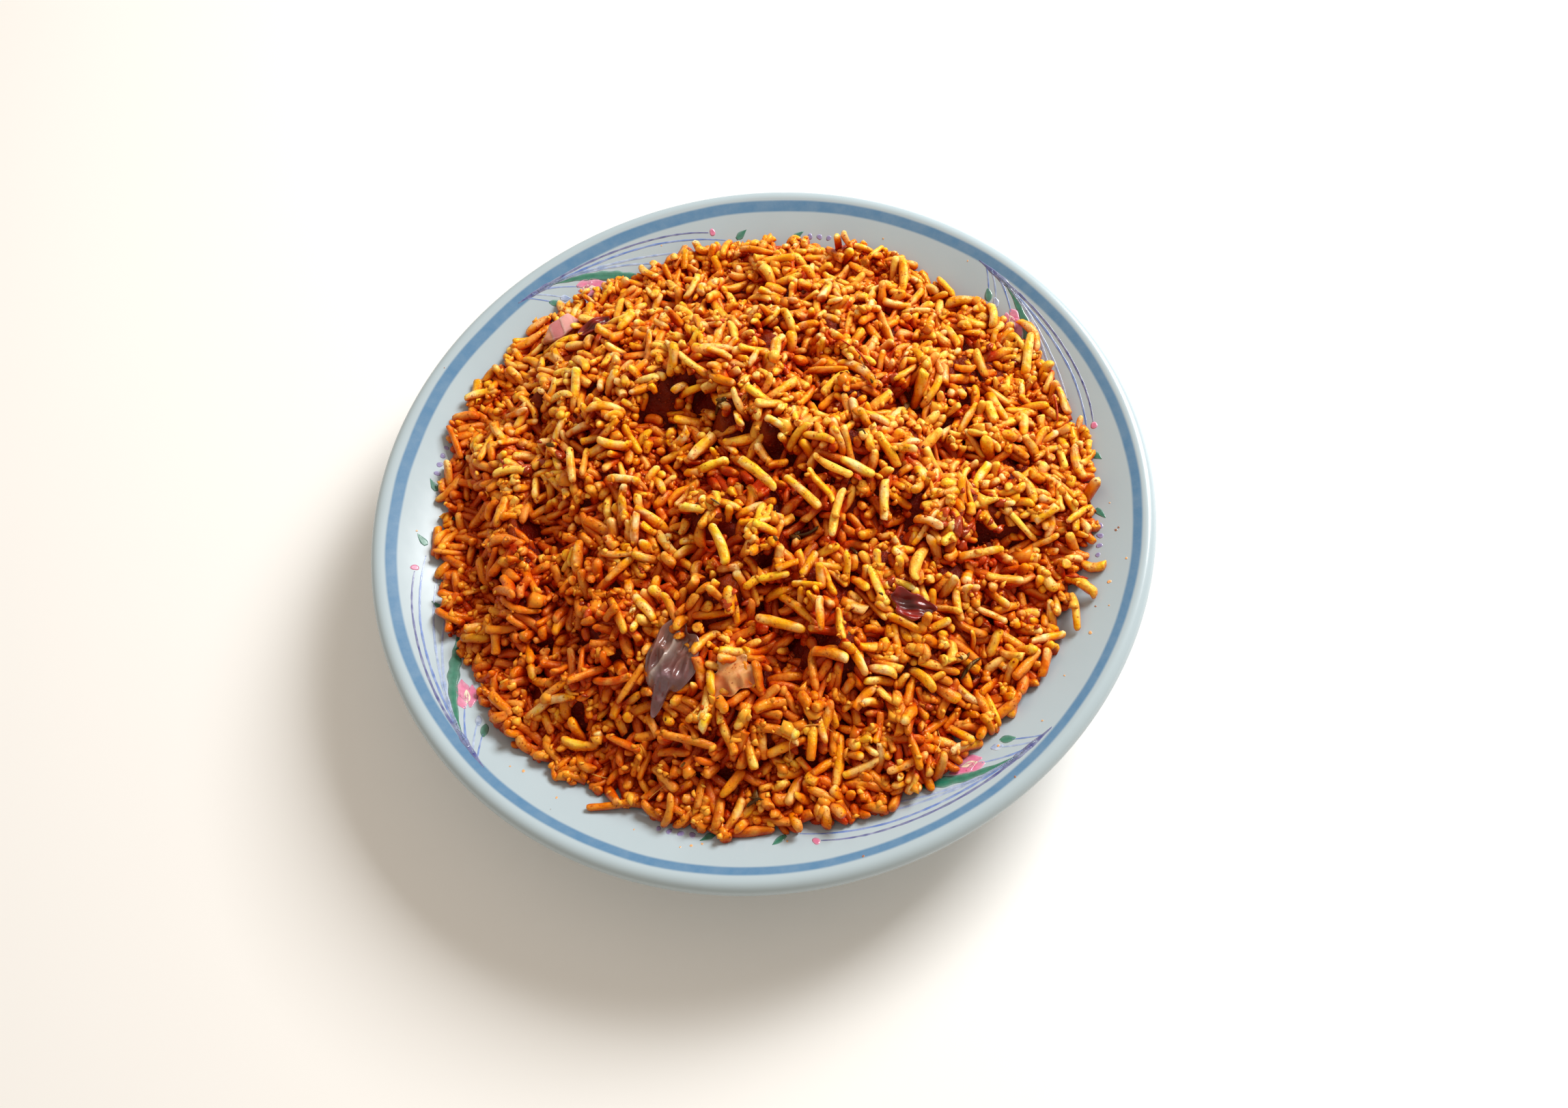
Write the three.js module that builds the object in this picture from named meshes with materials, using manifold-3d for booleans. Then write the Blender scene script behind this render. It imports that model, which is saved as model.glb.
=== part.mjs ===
// A plate of jollof rice: a round glazed dish, the rice heaped in it, and the larger pieces of
// onion and pepper that lie on the heap. Millimetres, +Z up. The origin is the middle of the
// circle that the dish's foot ring stands on, and -Y is the side nearest the viewer.

import * as THREE from "three";
import { mergeVertices } from "three/addons/utils/BufferGeometryUtils.js";
import Module from "manifold-3d";

// Dish
const RIM_RADIUS = 105;
const DISH_HEIGHT = 34;
const LIP_ROUND = 2.6;
const LIP_OUTER_DEGREES = -99;
const LIP_STEPS = [-66, -33, 0, 45, 90];
const LIP_INNER_DEGREES = 115;
const FLOOR_LEVEL = 7;
const FLOOR_RADIUS = 42;
const WALL_PULL = 30;
const FLOOR_PULL = 16;
const FOOT_RADIUS = 57;
const FOOT_WIDTH = 5;
const FOOT_HEIGHT = 4.5;
const FOOT_BEVEL = 0.8;
const FOOT_PULL = 12;
const RIM_PULL = 22;
const RECESS_LEVEL = 3;
const TURN_STEPS = 64;

// Rice heap
const HEAP_RADIUS = 86.5;
const HEAP_PEAK = 51.5;
const HEAP_EDGE = 1.8;
const HEAP_GAP = 0.4;
const DOME_POWER = 2.2;
const CALM_POWER = 6;
const OUTLINE_WAVES = [
  { turns: 3, size: 0.010, phase: 0.6 },
  { turns: 5, size: 0.009, phase: 2.1 },
  { turns: 11, size: 0.006, phase: 4.0 },
];

// Mounds and hollows of the heap: place, half length, half width, heading in degrees, height.
const MOUNDS = [
  { x: 2, y: 27, long: 30, wide: 9, heading: -43, height: 2.8 },
  { x: -30, y: 10, long: 19, wide: 9, heading: -30, height: -3.6 },
  { x: -15, y: -28, long: 11, wide: 8, heading: -60, height: 3.4 },
  { x: 7, y: -41, long: 12, wide: 7, heading: -65, height: 2.6 },
  { x: -4, y: -40, long: 8, wide: 4.5, heading: -70, height: -3.2 },
  { x: -28, y: -42, long: 12, wide: 8, heading: -120, height: -2.4 },
  { x: -43, y: -12, long: 10, wide: 8, heading: 20, height: 2.6 },
  { x: -46, y: 22, long: 12, wide: 9, heading: 60, height: 1.6 },
  { x: 54, y: 6, long: 15, wide: 9, heading: -50, height: 2.2 },
  { x: 42, y: 12, long: 10, wide: 6, heading: -80, height: -2.4 },
  { x: 20, y: -20, long: 12, wide: 7, heading: 15, height: 1.8 },
  { x: 32, y: -45, long: 10, wide: 7, heading: 10, height: -2.2 },
  { x: 8, y: 66, long: 14, wide: 8, heading: 5, height: 2.4 },
  { x: -24, y: 66, long: 10, wide: 7, heading: 25, height: 1.8 },
  { x: 10, y: -68, long: 12, wide: 7, heading: 10, height: 1.8 },
  { x: -34, y: -66, long: 12, wide: 7, heading: -30, height: 1.4 },
  { x: 56, y: -44, long: 9, wide: 6, heading: -40, height: -1.8 },
  { x: 58, y: 36, long: 12, wide: 7, heading: -45, height: 1.5 },
];
const RIPPLES = [
  { across: 0.21, along: 0.13, phase: 0.4, height: 0.55 },
  { across: -0.16, along: 0.27, phase: 2.0, height: 0.5 },
  { across: 0.33, along: -0.22, phase: 4.4, height: 0.35 },
];

// Grains: cooked long grain, as ridges of the heap's skin and as whole grains fused to it
const SEED = 20417;
const GRAIN_GIRTH = 2.8;
const GRAIN_SHORTEST = 6.5;
const GRAIN_LONGEST = 11.5;
const RIDGE_TRIES = 26000;
const RIDGE_SPACING = 3.3;
const RIDGE_HEIGHT = 1.3;
const RIDGE_END_HEIGHT = 0.7;
const VALLEY_TRIES = 26000;
const VALLEY_FROM_RIDGE = 1.95;
const VALLEY_SPACING = 2.8;
const VALLEY_DEPTH = 0.6;
const FAR = 1e4;
const GRAIN_SIDES = 5;
const EDGE_GRAINS = 50;
const GRAIN_REACH = 90;
const PROUD_GRAINS = 36;
const PROUD_TILT = 0.45;

// Pieces of onion and pepper: middle of each on the heap, half length, half width, heading in
// degrees, thickness at the edge, height of its arch, and how far it narrows to one end.
const PIECE_GAP = 0.45;
const PIECE_RINGS = 3;
const PIECE_STEPS = 12;
const PIECES = [
  {
    name: "onion_petal_front",
    x: -29.5,
    y: -47,
    long: 12,
    wide: 6.6,
    heading: -122,
    edge: 1.0,
    arch: 2.6,
    narrow: 0.45,
    color: 0xa98284,
  },
  {
    name: "onion_chunk_back",
    x: -43.5,
    y: 67,
    long: 6.2,
    wide: 4.6,
    heading: 205,
    edge: 1.2,
    arch: 3.2,
    narrow: 0.1,
    color: 0xd99a93,
  },
  {
    name: "onion_layer_front",
    x: -15,
    y: -54,
    long: 6.6,
    wide: 4.6,
    heading: 15,
    edge: 1.0,
    arch: 1.6,
    narrow: 0.15,
    color: 0xcf9270,
  },
  {
    name: "pepper_skin_right",
    x: 31.5,
    y: -46,
    long: 5.4,
    wide: 3.6,
    heading: -35,
    edge: 0.9,
    arch: 1.2,
    narrow: 0.25,
    color: 0x7d1306,
  },
  {
    name: "pepper_skin_back",
    x: -33,
    y: 62,
    long: 5.0,
    wide: 3.0,
    heading: 10,
    edge: 0.9,
    arch: 1.3,
    narrow: 0.2,
    color: 0x96200c,
  },
];
const CLEAR_OF_PIECE = 1.6;

const wasm = await Module();
wasm.setup();

// Seeded draws
function drawer(seed) {
  let state = seed;
  return () => {
    state = (state + 0x6d2b79f5) | 0;
    let mixed = Math.imul(state ^ (state >>> 15), 1 | state);
    mixed = (mixed + Math.imul(mixed ^ (mixed >>> 7), 61 | mixed)) ^ mixed;
    return ((mixed ^ (mixed >>> 14)) >>> 0) / 4294967296;
  };
}

const draw = drawer(SEED);
const between = (low, high) => low + (high - low) * draw();

// Dish outline
function lipPoint(degrees) {
  const turn = THREE.MathUtils.degToRad(degrees);
  return new THREE.Vector2(
    RIM_RADIUS - LIP_ROUND + LIP_ROUND * Math.cos(turn),
    DISH_HEIGHT - LIP_ROUND + LIP_ROUND * Math.sin(turn),
  );
}

function innerWall() {
  const top = lipPoint(LIP_INNER_DEGREES);
  const slope = THREE.MathUtils.degToRad(LIP_INNER_DEGREES + 90);
  const leave = new THREE.Vector2(Math.cos(slope), Math.sin(slope)).multiplyScalar(WALL_PULL);
  return new THREE.CubicBezierCurve(
    top,
    top.clone().add(leave),
    new THREE.Vector2(FLOOR_RADIUS + FLOOR_PULL, FLOOR_LEVEL),
    new THREE.Vector2(FLOOR_RADIUS, FLOOR_LEVEL),
  );
}

function outerWall() {
  return new THREE.CubicBezierCurve(
    new THREE.Vector2(FOOT_RADIUS + 0.5, FOOT_HEIGHT),
    new THREE.Vector2(FOOT_RADIUS + FOOT_PULL, FOOT_HEIGHT + 5),
    new THREE.Vector2(RIM_RADIUS - RIM_PULL, DISH_HEIGHT - 12),
    lipPoint(LIP_OUTER_DEGREES),
  );
}

const INNER_WALL = innerWall();

// Height and steepness of the dish's inside at a distance from its middle
function dishInside(radius) {
  if (radius <= FLOOR_RADIUS) return { level: FLOOR_LEVEL, slope: 0 };
  let low = 0;
  let high = 1;
  for (let i = 0; i < 40; i++) {
    const middle = (low + high) / 2;
    if (INNER_WALL.getPoint(middle).x > radius) low = middle;
    else high = middle;
  }
  const tangent = INNER_WALL.getTangent(low);
  return { level: INNER_WALL.getPoint(low).y, slope: tangent.y / tangent.x };
}

// Height over the dish's inside that leaves the heap's gap, square to the wall
function restLevel(radius, lift = 0) {
  const { level, slope } = dishInside(radius);
  return level + (HEAP_GAP + lift) * Math.hypot(1, slope);
}

function makeDish() {
  const profile = [
    new THREE.Vector2(0, RECESS_LEVEL),
    new THREE.Vector2(FOOT_RADIUS - FOOT_WIDTH - FOOT_BEVEL, RECESS_LEVEL),
    new THREE.Vector2(FOOT_RADIUS - FOOT_WIDTH, 0),
    new THREE.Vector2(FOOT_RADIUS - FOOT_BEVEL, 0),
    new THREE.Vector2(FOOT_RADIUS, FOOT_BEVEL),
    ...outerWall().getPoints(4),
    ...LIP_STEPS.map(lipPoint),
    ...INNER_WALL.getPoints(6),
    new THREE.Vector2(0, FLOOR_LEVEL),
  ];
  return new THREE.LatheGeometry(profile, TURN_STEPS).rotateX(Math.PI / 2);
}

// Shape of the heap
function edgeRadius(angle) {
  let share = 1;
  for (const wave of OUTLINE_WAVES) share += wave.size * Math.sin(wave.turns * angle + wave.phase);
  return HEAP_RADIUS * share;
}

function moundHeight(x, y) {
  let height = 0;
  for (const mound of MOUNDS) {
    const turn = THREE.MathUtils.degToRad(mound.heading);
    const along = (x - mound.x) * Math.cos(turn) + (y - mound.y) * Math.sin(turn);
    const across = (y - mound.y) * Math.cos(turn) - (x - mound.x) * Math.sin(turn);
    height += mound.height * Math.exp(-((along / mound.long) ** 2) - (across / mound.wide) ** 2);
  }
  for (const ripple of RIPPLES)
    height += ripple.height * Math.sin(ripple.across * x + ripple.along * y + ripple.phase);
  return height;
}

function heapLevel(x, y) {
  const reach = edgeRadius(Math.atan2(y, x));
  const share = Math.min(1, Math.hypot(x, y) / reach);
  const edge = restLevel(reach) + HEAP_EDGE;
  const dome = edge + (HEAP_PEAK - edge) * (1 - share ** DOME_POWER);
  return dome + moundHeight(x, y) * (1 - share ** CALM_POWER);
}

// Share of the way out of a piece's outline: under 1 inside it
function pieceShare(piece, x, y, extra = 0) {
  const turn = THREE.MathUtils.degToRad(piece.heading);
  const along = (x - piece.x) * Math.cos(turn) + (y - piece.y) * Math.sin(turn);
  const across = (y - piece.y) * Math.cos(turn) - (x - piece.x) * Math.sin(turn);
  return Math.hypot(along / (piece.long + extra), across / (piece.wide + extra));
}

const underPiece = (x, y, extra) => PIECES.some((piece) => pieceShare(piece, x, y, extra) < 1);

// Points of the heap's skin, in a plan where its edge is a true circle
class Plan {
  constructor(cell) {
    this.cell = cell;
    this.cells = new Map();
    this.points = [];
  }

  key(x, y) {
    return Math.floor(x / this.cell) * 4096 + Math.floor(y / this.cell);
  }

  add(x, y, rise) {
    const key = this.key(x, y);
    if (!this.cells.has(key)) this.cells.set(key, []);
    this.cells.get(key).push(this.points.length);
    this.points.push({ x, y, rise });
  }

  isClear(x, y, distance, kind = () => true) {
    const reach = Math.ceil(distance / this.cell);
    for (let i = -reach; i <= reach; i++)
      for (let j = -reach; j <= reach; j++) {
        const key = this.key(x + i * this.cell, y + j * this.cell);
        for (const index of this.cells.get(key) ?? []) {
          const other = this.points[index];
          if (kind(other) && Math.hypot(other.x - x, other.y - y) < distance) return false;
        }
      }
    return true;
  }
}

function placeSkinPoints() {
  const plan = new Plan(4);
  for (let i = 0; i < TURN_STEPS; i++) {
    const angle = (i / TURN_STEPS) * 2 * Math.PI;
    plan.add(HEAP_RADIUS * Math.cos(angle), HEAP_RADIUS * Math.sin(angle), 0);
  }
  const inner = HEAP_RADIUS - VALLEY_FROM_RIDGE;
  for (let i = 0; i < RIDGE_TRIES; i++) {
    const radius = inner * Math.sqrt(draw());
    const angle = between(0, 2 * Math.PI);
    const heading = between(0, Math.PI);
    const half = between(GRAIN_SHORTEST, GRAIN_LONGEST) / 2 - GRAIN_GIRTH / 2;
    const spots = [-1, -0.5, 0, 0.5, 1].map((share) => ({
      x: radius * Math.cos(angle) + share * half * Math.cos(heading),
      y: radius * Math.sin(angle) + share * half * Math.sin(heading),
    }));
    const isFree = spots.every(
      ({ x, y }) =>
        Math.hypot(x, y) < inner && !underPiece(x, y, CLEAR_OF_PIECE) && plan.isClear(x, y, RIDGE_SPACING),
    );
    if (!isFree) continue;
    plan.add(spots[0].x, spots[0].y, RIDGE_END_HEIGHT);
    plan.add(spots[2].x, spots[2].y, RIDGE_HEIGHT);
    plan.add(spots[4].x, spots[4].y, RIDGE_END_HEIGHT);
  }
  const isValley = (point) => point.rise < 0;
  const isRidge = (point) => point.rise >= 0;
  for (let i = 0; i < VALLEY_TRIES; i++) {
    const radius = inner * Math.sqrt(draw());
    const angle = between(0, 2 * Math.PI);
    const x = radius * Math.cos(angle);
    const y = radius * Math.sin(angle);
    if (plan.isClear(x, y, VALLEY_FROM_RIDGE, isRidge) && plan.isClear(x, y, VALLEY_SPACING, isValley))
      plan.add(x, y, -VALLEY_DEPTH);
  }
  return plan.points;
}

// Circle through a triangle's corners
function circleOf(points, [a, b, c]) {
  const ax = points[a].x;
  const ay = points[a].y;
  const bx = points[b].x - ax;
  const by = points[b].y - ay;
  const cx = points[c].x - ax;
  const cy = points[c].y - ay;
  const twice = 2 * (bx * cy - by * cx);
  const x = (cy * (bx * bx + by * by) - by * (cx * cx + cy * cy)) / twice;
  const y = (bx * (cx * cx + cy * cy) - cx * (bx * bx + by * by)) / twice;
  return { x: x + ax, y: y + ay, square: x * x + y * y };
}

// Delaunay triangles over a plan's points. They are added one at a time, the round edge last,
// because points on one circle with nothing between them have no single answer.
function triangulate(given) {
  const first = given.length;
  const points = [...given, { x: -FAR, y: -FAR }, { x: FAR, y: -FAR }, { x: 0, y: FAR }];
  const make = (corners) => ({ corners, circle: circleOf(points, corners) });
  let triangles = [make([first, first + 1, first + 2])];
  for (let index = first - 1; index >= 0; index--) {
    const { x, y } = points[index];
    const kept = [];
    const rim = new Map();
    for (const triangle of triangles) {
      const { circle, corners } = triangle;
      if ((circle.x - x) ** 2 + (circle.y - y) ** 2 >= circle.square) {
        kept.push(triangle);
        continue;
      }
      for (let i = 0; i < 3; i++) {
        const from = corners[i];
        const to = corners[(i + 1) % 3];
        if (!rim.delete(`${to} ${from}`)) rim.set(`${from} ${to}`, [from, to]);
      }
    }
    for (const [from, to] of rim.values()) kept.push(make([from, to, index]));
    triangles = kept;
  }
  return triangles.map(({ corners }) => corners).filter((corners) => corners.every((i) => i < first));
}

// A closed geometry from shared vertices, given as [x, y, z], and triangles
function closedGeometry(vertices, triangles) {
  return new THREE.BufferGeometry()
    .setAttribute("position", new THREE.Float32BufferAttribute(vertices.flat(), 3))
    .setIndex(triangles.flat());
}

// The bare heap: grain-sized ridges above, the dish's own curve below
function makeBareHeap() {
  const points = placeSkinPoints();
  const vertices = points.map(({ x, y, rise }) => {
    const stretch = edgeRadius(Math.atan2(y, x)) / HEAP_RADIUS;
    return [x * stretch, y * stretch, heapLevel(x * stretch, y * stretch) + rise];
  });
  const triangles = triangulate(points);
  const ringShares = [1, 0.93, 0.83, 0.72, 0.6, (FLOOR_RADIUS + 3) / HEAP_RADIUS];
  const ringStarts = ringShares.map((share) => {
    const start = vertices.length;
    for (let i = 0; i < TURN_STEPS; i++) {
      const angle = (i / TURN_STEPS) * 2 * Math.PI;
      const radius = edgeRadius(angle) * share;
      vertices.push([radius * Math.cos(angle), radius * Math.sin(angle), restLevel(radius)]);
    }
    return start;
  });
  const starts = [0, ...ringStarts];
  for (let ring = 1; ring < starts.length; ring++)
    for (let i = 0; i < TURN_STEPS; i++) {
      const next = (i + 1) % TURN_STEPS;
      const [above, below] = [starts[ring - 1], starts[ring]];
      triangles.push([above + i, below + i, above + next], [above + next, below + i, below + next]);
    }
  const middle = vertices.length;
  vertices.push([0, 0, restLevel(0)]);
  const last = starts.at(-1);
  for (let i = 0; i < TURN_STEPS; i++) triangles.push([last + i, middle, last + ((i + 1) % TURN_STEPS)]);
  return closedGeometry(vertices, triangles);
}

// One whole grain from end to end, slightly bowed, blunt at both ends
function makeGrain(from, to) {
  const span = to.clone().sub(from);
  const half = span.length() / 2;
  const radius = (GRAIN_GIRTH / 2) * between(0.88, 1.05);
  const profile = [
    new THREE.Vector2(0, -half),
    new THREE.Vector2(radius * 0.8, -half + radius * 0.7),
    new THREE.Vector2(radius, 0),
    new THREE.Vector2(radius * 0.8, half - radius * 0.7),
    new THREE.Vector2(0, half),
  ];
  const geometry = new THREE.LatheGeometry(profile, GRAIN_SIDES);
  const bow = between(0, 0.07) * half;
  const position = geometry.getAttribute("position");
  for (let i = 0; i < position.count; i++)
    position.setX(i, position.getX(i) + bow * (1 - (position.getY(i) / half) ** 2));
  const turn = new THREE.Quaternion().setFromUnitVectors(new THREE.Vector3(0, 1, 0), span.normalize());
  geometry.applyQuaternion(turn);
  geometry.translate((from.x + to.x) / 2, (from.y + to.y) / 2, (from.z + to.z) / 2);
  return geometry;
}

// Grains that stick out past the heap's edge and lie on the dish's wall
function makeEdgeGrains() {
  const grains = [];
  for (let i = 0; i < EDGE_GRAINS; i++) {
    const angle = ((i + between(-0.35, 0.35)) / EDGE_GRAINS) * 2 * Math.PI;
    const inward = edgeRadius(angle) - between(2.2, 3.6);
    const length = between(GRAIN_SHORTEST, GRAIN_LONGEST) - 1;
    const swing = between(0.5, 1.5) * Math.sign(draw() - 0.5);
    const from = new THREE.Vector3(inward * Math.cos(angle), inward * Math.sin(angle), 0);
    const to = new THREE.Vector3(Math.cos(angle + swing), Math.sin(angle + swing), 0);
    to.multiplyScalar(length).add(from).clampLength(0, GRAIN_REACH);
    const lift = GRAIN_GIRTH / 2 + 0.15;
    from.z = Math.max(restLevel(inward, lift), heapLevel(from.x, from.y) - between(0.3, 1));
    to.z = restLevel(Math.hypot(to.x, to.y), lift) + between(0, 0.8);
    grains.push([from, to]);
  }
  return grains;
}

// Grains that lean out of the heap's top
function makeProudGrains() {
  const grains = [];
  for (let i = 0; i < PROUD_GRAINS; i++) {
    const radius = (HEAP_RADIUS - 10) * Math.sqrt((i + 0.5) / PROUD_GRAINS);
    const angle = i * 2.399963 + between(-0.2, 0.2);
    const heading = between(0, 2 * Math.PI);
    const length = between(GRAIN_SHORTEST, GRAIN_LONGEST);
    const from = new THREE.Vector3(radius * Math.cos(angle), radius * Math.sin(angle), 0);
    const tilt = between(0.1, PROUD_TILT);
    const to = new THREE.Vector3(Math.cos(heading), Math.sin(heading), 0);
    to.multiplyScalar(length * Math.cos(tilt)).add(from);
    from.z = heapLevel(from.x, from.y) + 0.2;
    to.z = Math.max(heapLevel(to.x, to.y) + 1, from.z + length * Math.sin(tilt));
    grains.push([from, to]);
  }
  return grains;
}

function solidFrom(geometry) {
  const bare = geometry.clone();
  bare.deleteAttribute("normal");
  bare.deleteAttribute("uv");
  const merged = mergeVertices(bare, 1e-3);
  return new wasm.Manifold(
    new wasm.Mesh({
      numProp: 3,
      vertProperties: merged.getAttribute("position").array,
      triVerts: new Uint32Array(merged.index.array),
    }),
  );
}

function geometryFrom(solid) {
  const mesh = solid.getMesh();
  return new THREE.BufferGeometry()
    .setAttribute("position", new THREE.BufferAttribute(mesh.vertProperties, 3))
    .setIndex(new THREE.BufferAttribute(mesh.triVerts, 1));
}

function makeRiceHeap() {
  let heap = solidFrom(makeBareHeap());
  const clearance = GRAIN_GIRTH + CLEAR_OF_PIECE;
  for (const [from, to] of [...makeEdgeGrains(), ...makeProudGrains()]) {
    const middle = from.clone().add(to).multiplyScalar(0.5);
    const grain = solidFrom(makeGrain(from, to));
    if ([from, middle, to].some(({ x, y }) => underPiece(x, y, clearance))) continue;
    heap = heap.add(grain);
  }
  const bodies = heap.decompose();
  return geometryFrom(bodies.reduce((a, b) => (b.volume() > a.volume() ? b : a)));
}

// A cut piece of onion or pepper: its underside follows the heap, its top is arched
function makePiece(piece) {
  const turn = THREE.MathUtils.degToRad(piece.heading);
  const spot = (share, angle) => {
    const along = piece.long * share * Math.cos(angle);
    const taper = 1 - piece.narrow * (along / piece.long);
    const across = piece.wide * share * Math.sin(angle) * Math.min(1, taper);
    return {
      x: piece.x + along * Math.cos(turn) - across * Math.sin(turn),
      y: piece.y + along * Math.sin(turn) + across * Math.cos(turn),
    };
  };
  const underside = ({ x, y }) => Math.max(heapLevel(x, y), restLevel(Math.hypot(x, y))) + PIECE_GAP;
  const vertices = [];
  const triangles = [];
  const layer = (rise) => {
    const start = vertices.length;
    const middle = spot(0, 0);
    vertices.push([middle.x, middle.y, underside(middle) + rise(0)]);
    for (let ring = 1; ring <= PIECE_RINGS; ring++)
      for (let i = 0; i < PIECE_STEPS; i++) {
        const share = ring / PIECE_RINGS;
        const place = spot(share, (i / PIECE_STEPS) * 2 * Math.PI);
        vertices.push([place.x, place.y, underside(place) + rise(share)]);
      }
    return start;
  };
  const upper = layer((share) => piece.edge + piece.arch * (1 - share ** 2));
  const lower = layer(() => 0);
  const ringPoint = (start, ring, i) => start + 1 + (ring - 1) * PIECE_STEPS + (i % PIECE_STEPS);
  const face = (a, b, c, isUpper) => triangles.push(isUpper ? [a, b, c] : [a, c, b]);
  for (let i = 0; i < PIECE_STEPS; i++) {
    for (const start of [upper, lower]) {
      const isUpper = start === upper;
      face(start, ringPoint(start, 1, i), ringPoint(start, 1, i + 1), isUpper);
      for (let ring = 1; ring < PIECE_RINGS; ring++) {
        const [a, b] = [ringPoint(start, ring, i), ringPoint(start, ring, i + 1)];
        const [c, d] = [ringPoint(start, ring + 1, i), ringPoint(start, ring + 1, i + 1)];
        face(a, c, b, isUpper);
        face(b, c, d, isUpper);
      }
    }
    const [a, b] = [ringPoint(upper, PIECE_RINGS, i), ringPoint(upper, PIECE_RINGS, i + 1)];
    const [c, d] = [ringPoint(lower, PIECE_RINGS, i), ringPoint(lower, PIECE_RINGS, i + 1)];
    triangles.push([a, c, b], [b, c, d]);
  }
  return closedGeometry(vertices, triangles);
}

function named(name, geometry, finish) {
  const mesh = new THREE.Mesh(geometry, new THREE.MeshStandardMaterial({ metalness: 0, ...finish }));
  mesh.name = name;
  return mesh;
}

const plateOfRice = new THREE.Group();
plateOfRice.add(named("plate", makeDish(), { color: 0xdfe9ec, roughness: 0.18 }));
plateOfRice.add(named("rice_heap", makeRiceHeap(), { color: 0xb05e1a, roughness: 0.4 }));
for (const piece of PIECES)
  plateOfRice.add(named(piece.name, makePiece(piece), { color: piece.color, roughness: 0.3 }));

export default plateOfRice;
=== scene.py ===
"""A plate of jollof rice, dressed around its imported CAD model.

The dish, the heap of rice and the pieces of onion and pepper are rebuilt here as fine meshes in the
places that the CAD nodes give them. Lengths are millimetres until a mesh is made; Blender's are metres.
"""

import sys
import logging
import math
from dataclasses import dataclass, field, replace
from enum import Enum
from functools import cache

import bmesh
import bpy
import numpy as np
from mathutils import Matrix, Vector


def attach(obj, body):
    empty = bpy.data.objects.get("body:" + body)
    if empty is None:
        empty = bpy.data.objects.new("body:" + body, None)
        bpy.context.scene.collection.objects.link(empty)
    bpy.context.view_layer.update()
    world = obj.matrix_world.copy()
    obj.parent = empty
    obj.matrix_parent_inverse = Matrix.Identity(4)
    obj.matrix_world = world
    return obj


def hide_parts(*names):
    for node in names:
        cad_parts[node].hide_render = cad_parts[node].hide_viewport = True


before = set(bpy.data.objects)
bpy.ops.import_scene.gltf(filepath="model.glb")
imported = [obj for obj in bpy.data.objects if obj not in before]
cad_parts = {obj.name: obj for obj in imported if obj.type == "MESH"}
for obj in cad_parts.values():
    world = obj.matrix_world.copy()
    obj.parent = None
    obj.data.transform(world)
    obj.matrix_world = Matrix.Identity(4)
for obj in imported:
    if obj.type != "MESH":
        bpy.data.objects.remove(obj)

LOG = logging.getLogger("plate_of_rice")
MM = 0.001
BODY = "root"
SEED = 20417
NOISE_PRIMES = np.array((73856093, 19349663, 83492791))
SEED_PRIME = 2654435
MIX_PRIME = 1274126177

Array = np.ndarray
Arrays = tuple[Array, ...]
Color = tuple[float, float, float, float]
Screen = tuple[float, float, float]
Socket = bpy.types.NodeSocket


# Small helpers

def linear(red: float, green: float, blue: float) -> Color:
    """Turns a screen colour of 0 to 255 into the linear colour that shaders use.

    Args:
        red: Screen red.
        green: Screen green.
        blue: Screen blue.

    Returns:
        Linear red, green, blue and an alpha of 1.
    """
    screen = np.array((red, green, blue)) / 255
    low = screen / 12.92
    high = ((screen + 0.055) / 1.055) ** 2.4
    return (*np.where(screen <= 0.04045, low, high).tolist(), 1.0)


def ink(color: Screen) -> Array:
    """Linear red, green and blue of a screen colour."""
    return np.array(linear(*color)[:3])


def blend_rows(share: Array, first: Screen, second: Screen) -> Array:
    """Mixes two screen colours by a share for each row, in linear colour."""
    return ink(first) * (1 - share[:, None]) + ink(second) * share[:, None]


def unit(vectors: Array) -> Array:
    """Scales each row to length one."""
    return vectors / np.maximum(np.linalg.norm(vectors, axis=-1, keepdims=True), 1e-9)


def smooth_step(values: Array) -> Array:
    """Eases values from 0 to 1, clamped at both ends."""
    share = np.clip(values, 0, 1)
    return share * share * (3 - 2 * share)


def heading_of(degrees: float) -> Array:
    """Unit vector that points in a direction given in degrees."""
    return np.array((math.cos(math.radians(degrees)), math.sin(math.radians(degrees))))


def lengthwise(x: Array, y: Array, degrees: float) -> Arrays:
    """Turns distances in x and y into those along and across a heading."""
    ahead, left = heading_of(degrees)
    return x * ahead + y * left, y * ahead - x * left


def polar(radius: Array | float, angle: Array) -> Array:
    """Points at distances and directions, as rows of two."""
    return np.stack((radius * np.cos(angle), radius * np.sin(angle)), -1)


def on_plane(x: Array, y: Array) -> Array:
    """Points at level 0, as rows of three."""
    return np.stack((x, y, np.zeros_like(x)), -1)


def full_turn(steps: int) -> Array:
    """Directions round a full turn, in radians, without the last that meets the first."""
    return np.linspace(0, 2 * math.pi, steps, endpoint=False)


def lattice_noise(points: Array, cell: float, seed: int) -> Array:
    """Smooth value noise at points in space.

    Args:
        points: Places, one row each.
        cell: Size of one lump of the noise, in the points' own unit.
        seed: Number that picks the pattern.

    Returns:
        One value from -1 to 1 for each point.
    """
    places = points / cell
    base = np.floor(places).astype(np.int64)
    ease = smooth_step(places - base)
    total = np.zeros(len(points))
    for corner in range(8):
        step = np.array(((corner >> 0) & 1, (corner >> 1) & 1, (corner >> 2) & 1))
        spot = base + step
        mixed = np.bitwise_xor.reduce(spot * NOISE_PRIMES, axis=1) ^ (seed * SEED_PRIME)
        mixed = (mixed ^ (mixed >> 13)) * MIX_PRIME & 0x7FFFFFFF
        mixed = (mixed ^ (mixed >> 15)) & 0xFFFF
        weight = np.prod(np.where(step, ease, 1 - ease), axis=1)
        total += weight * (mixed / 32767.5 - 1)
    return total


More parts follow.
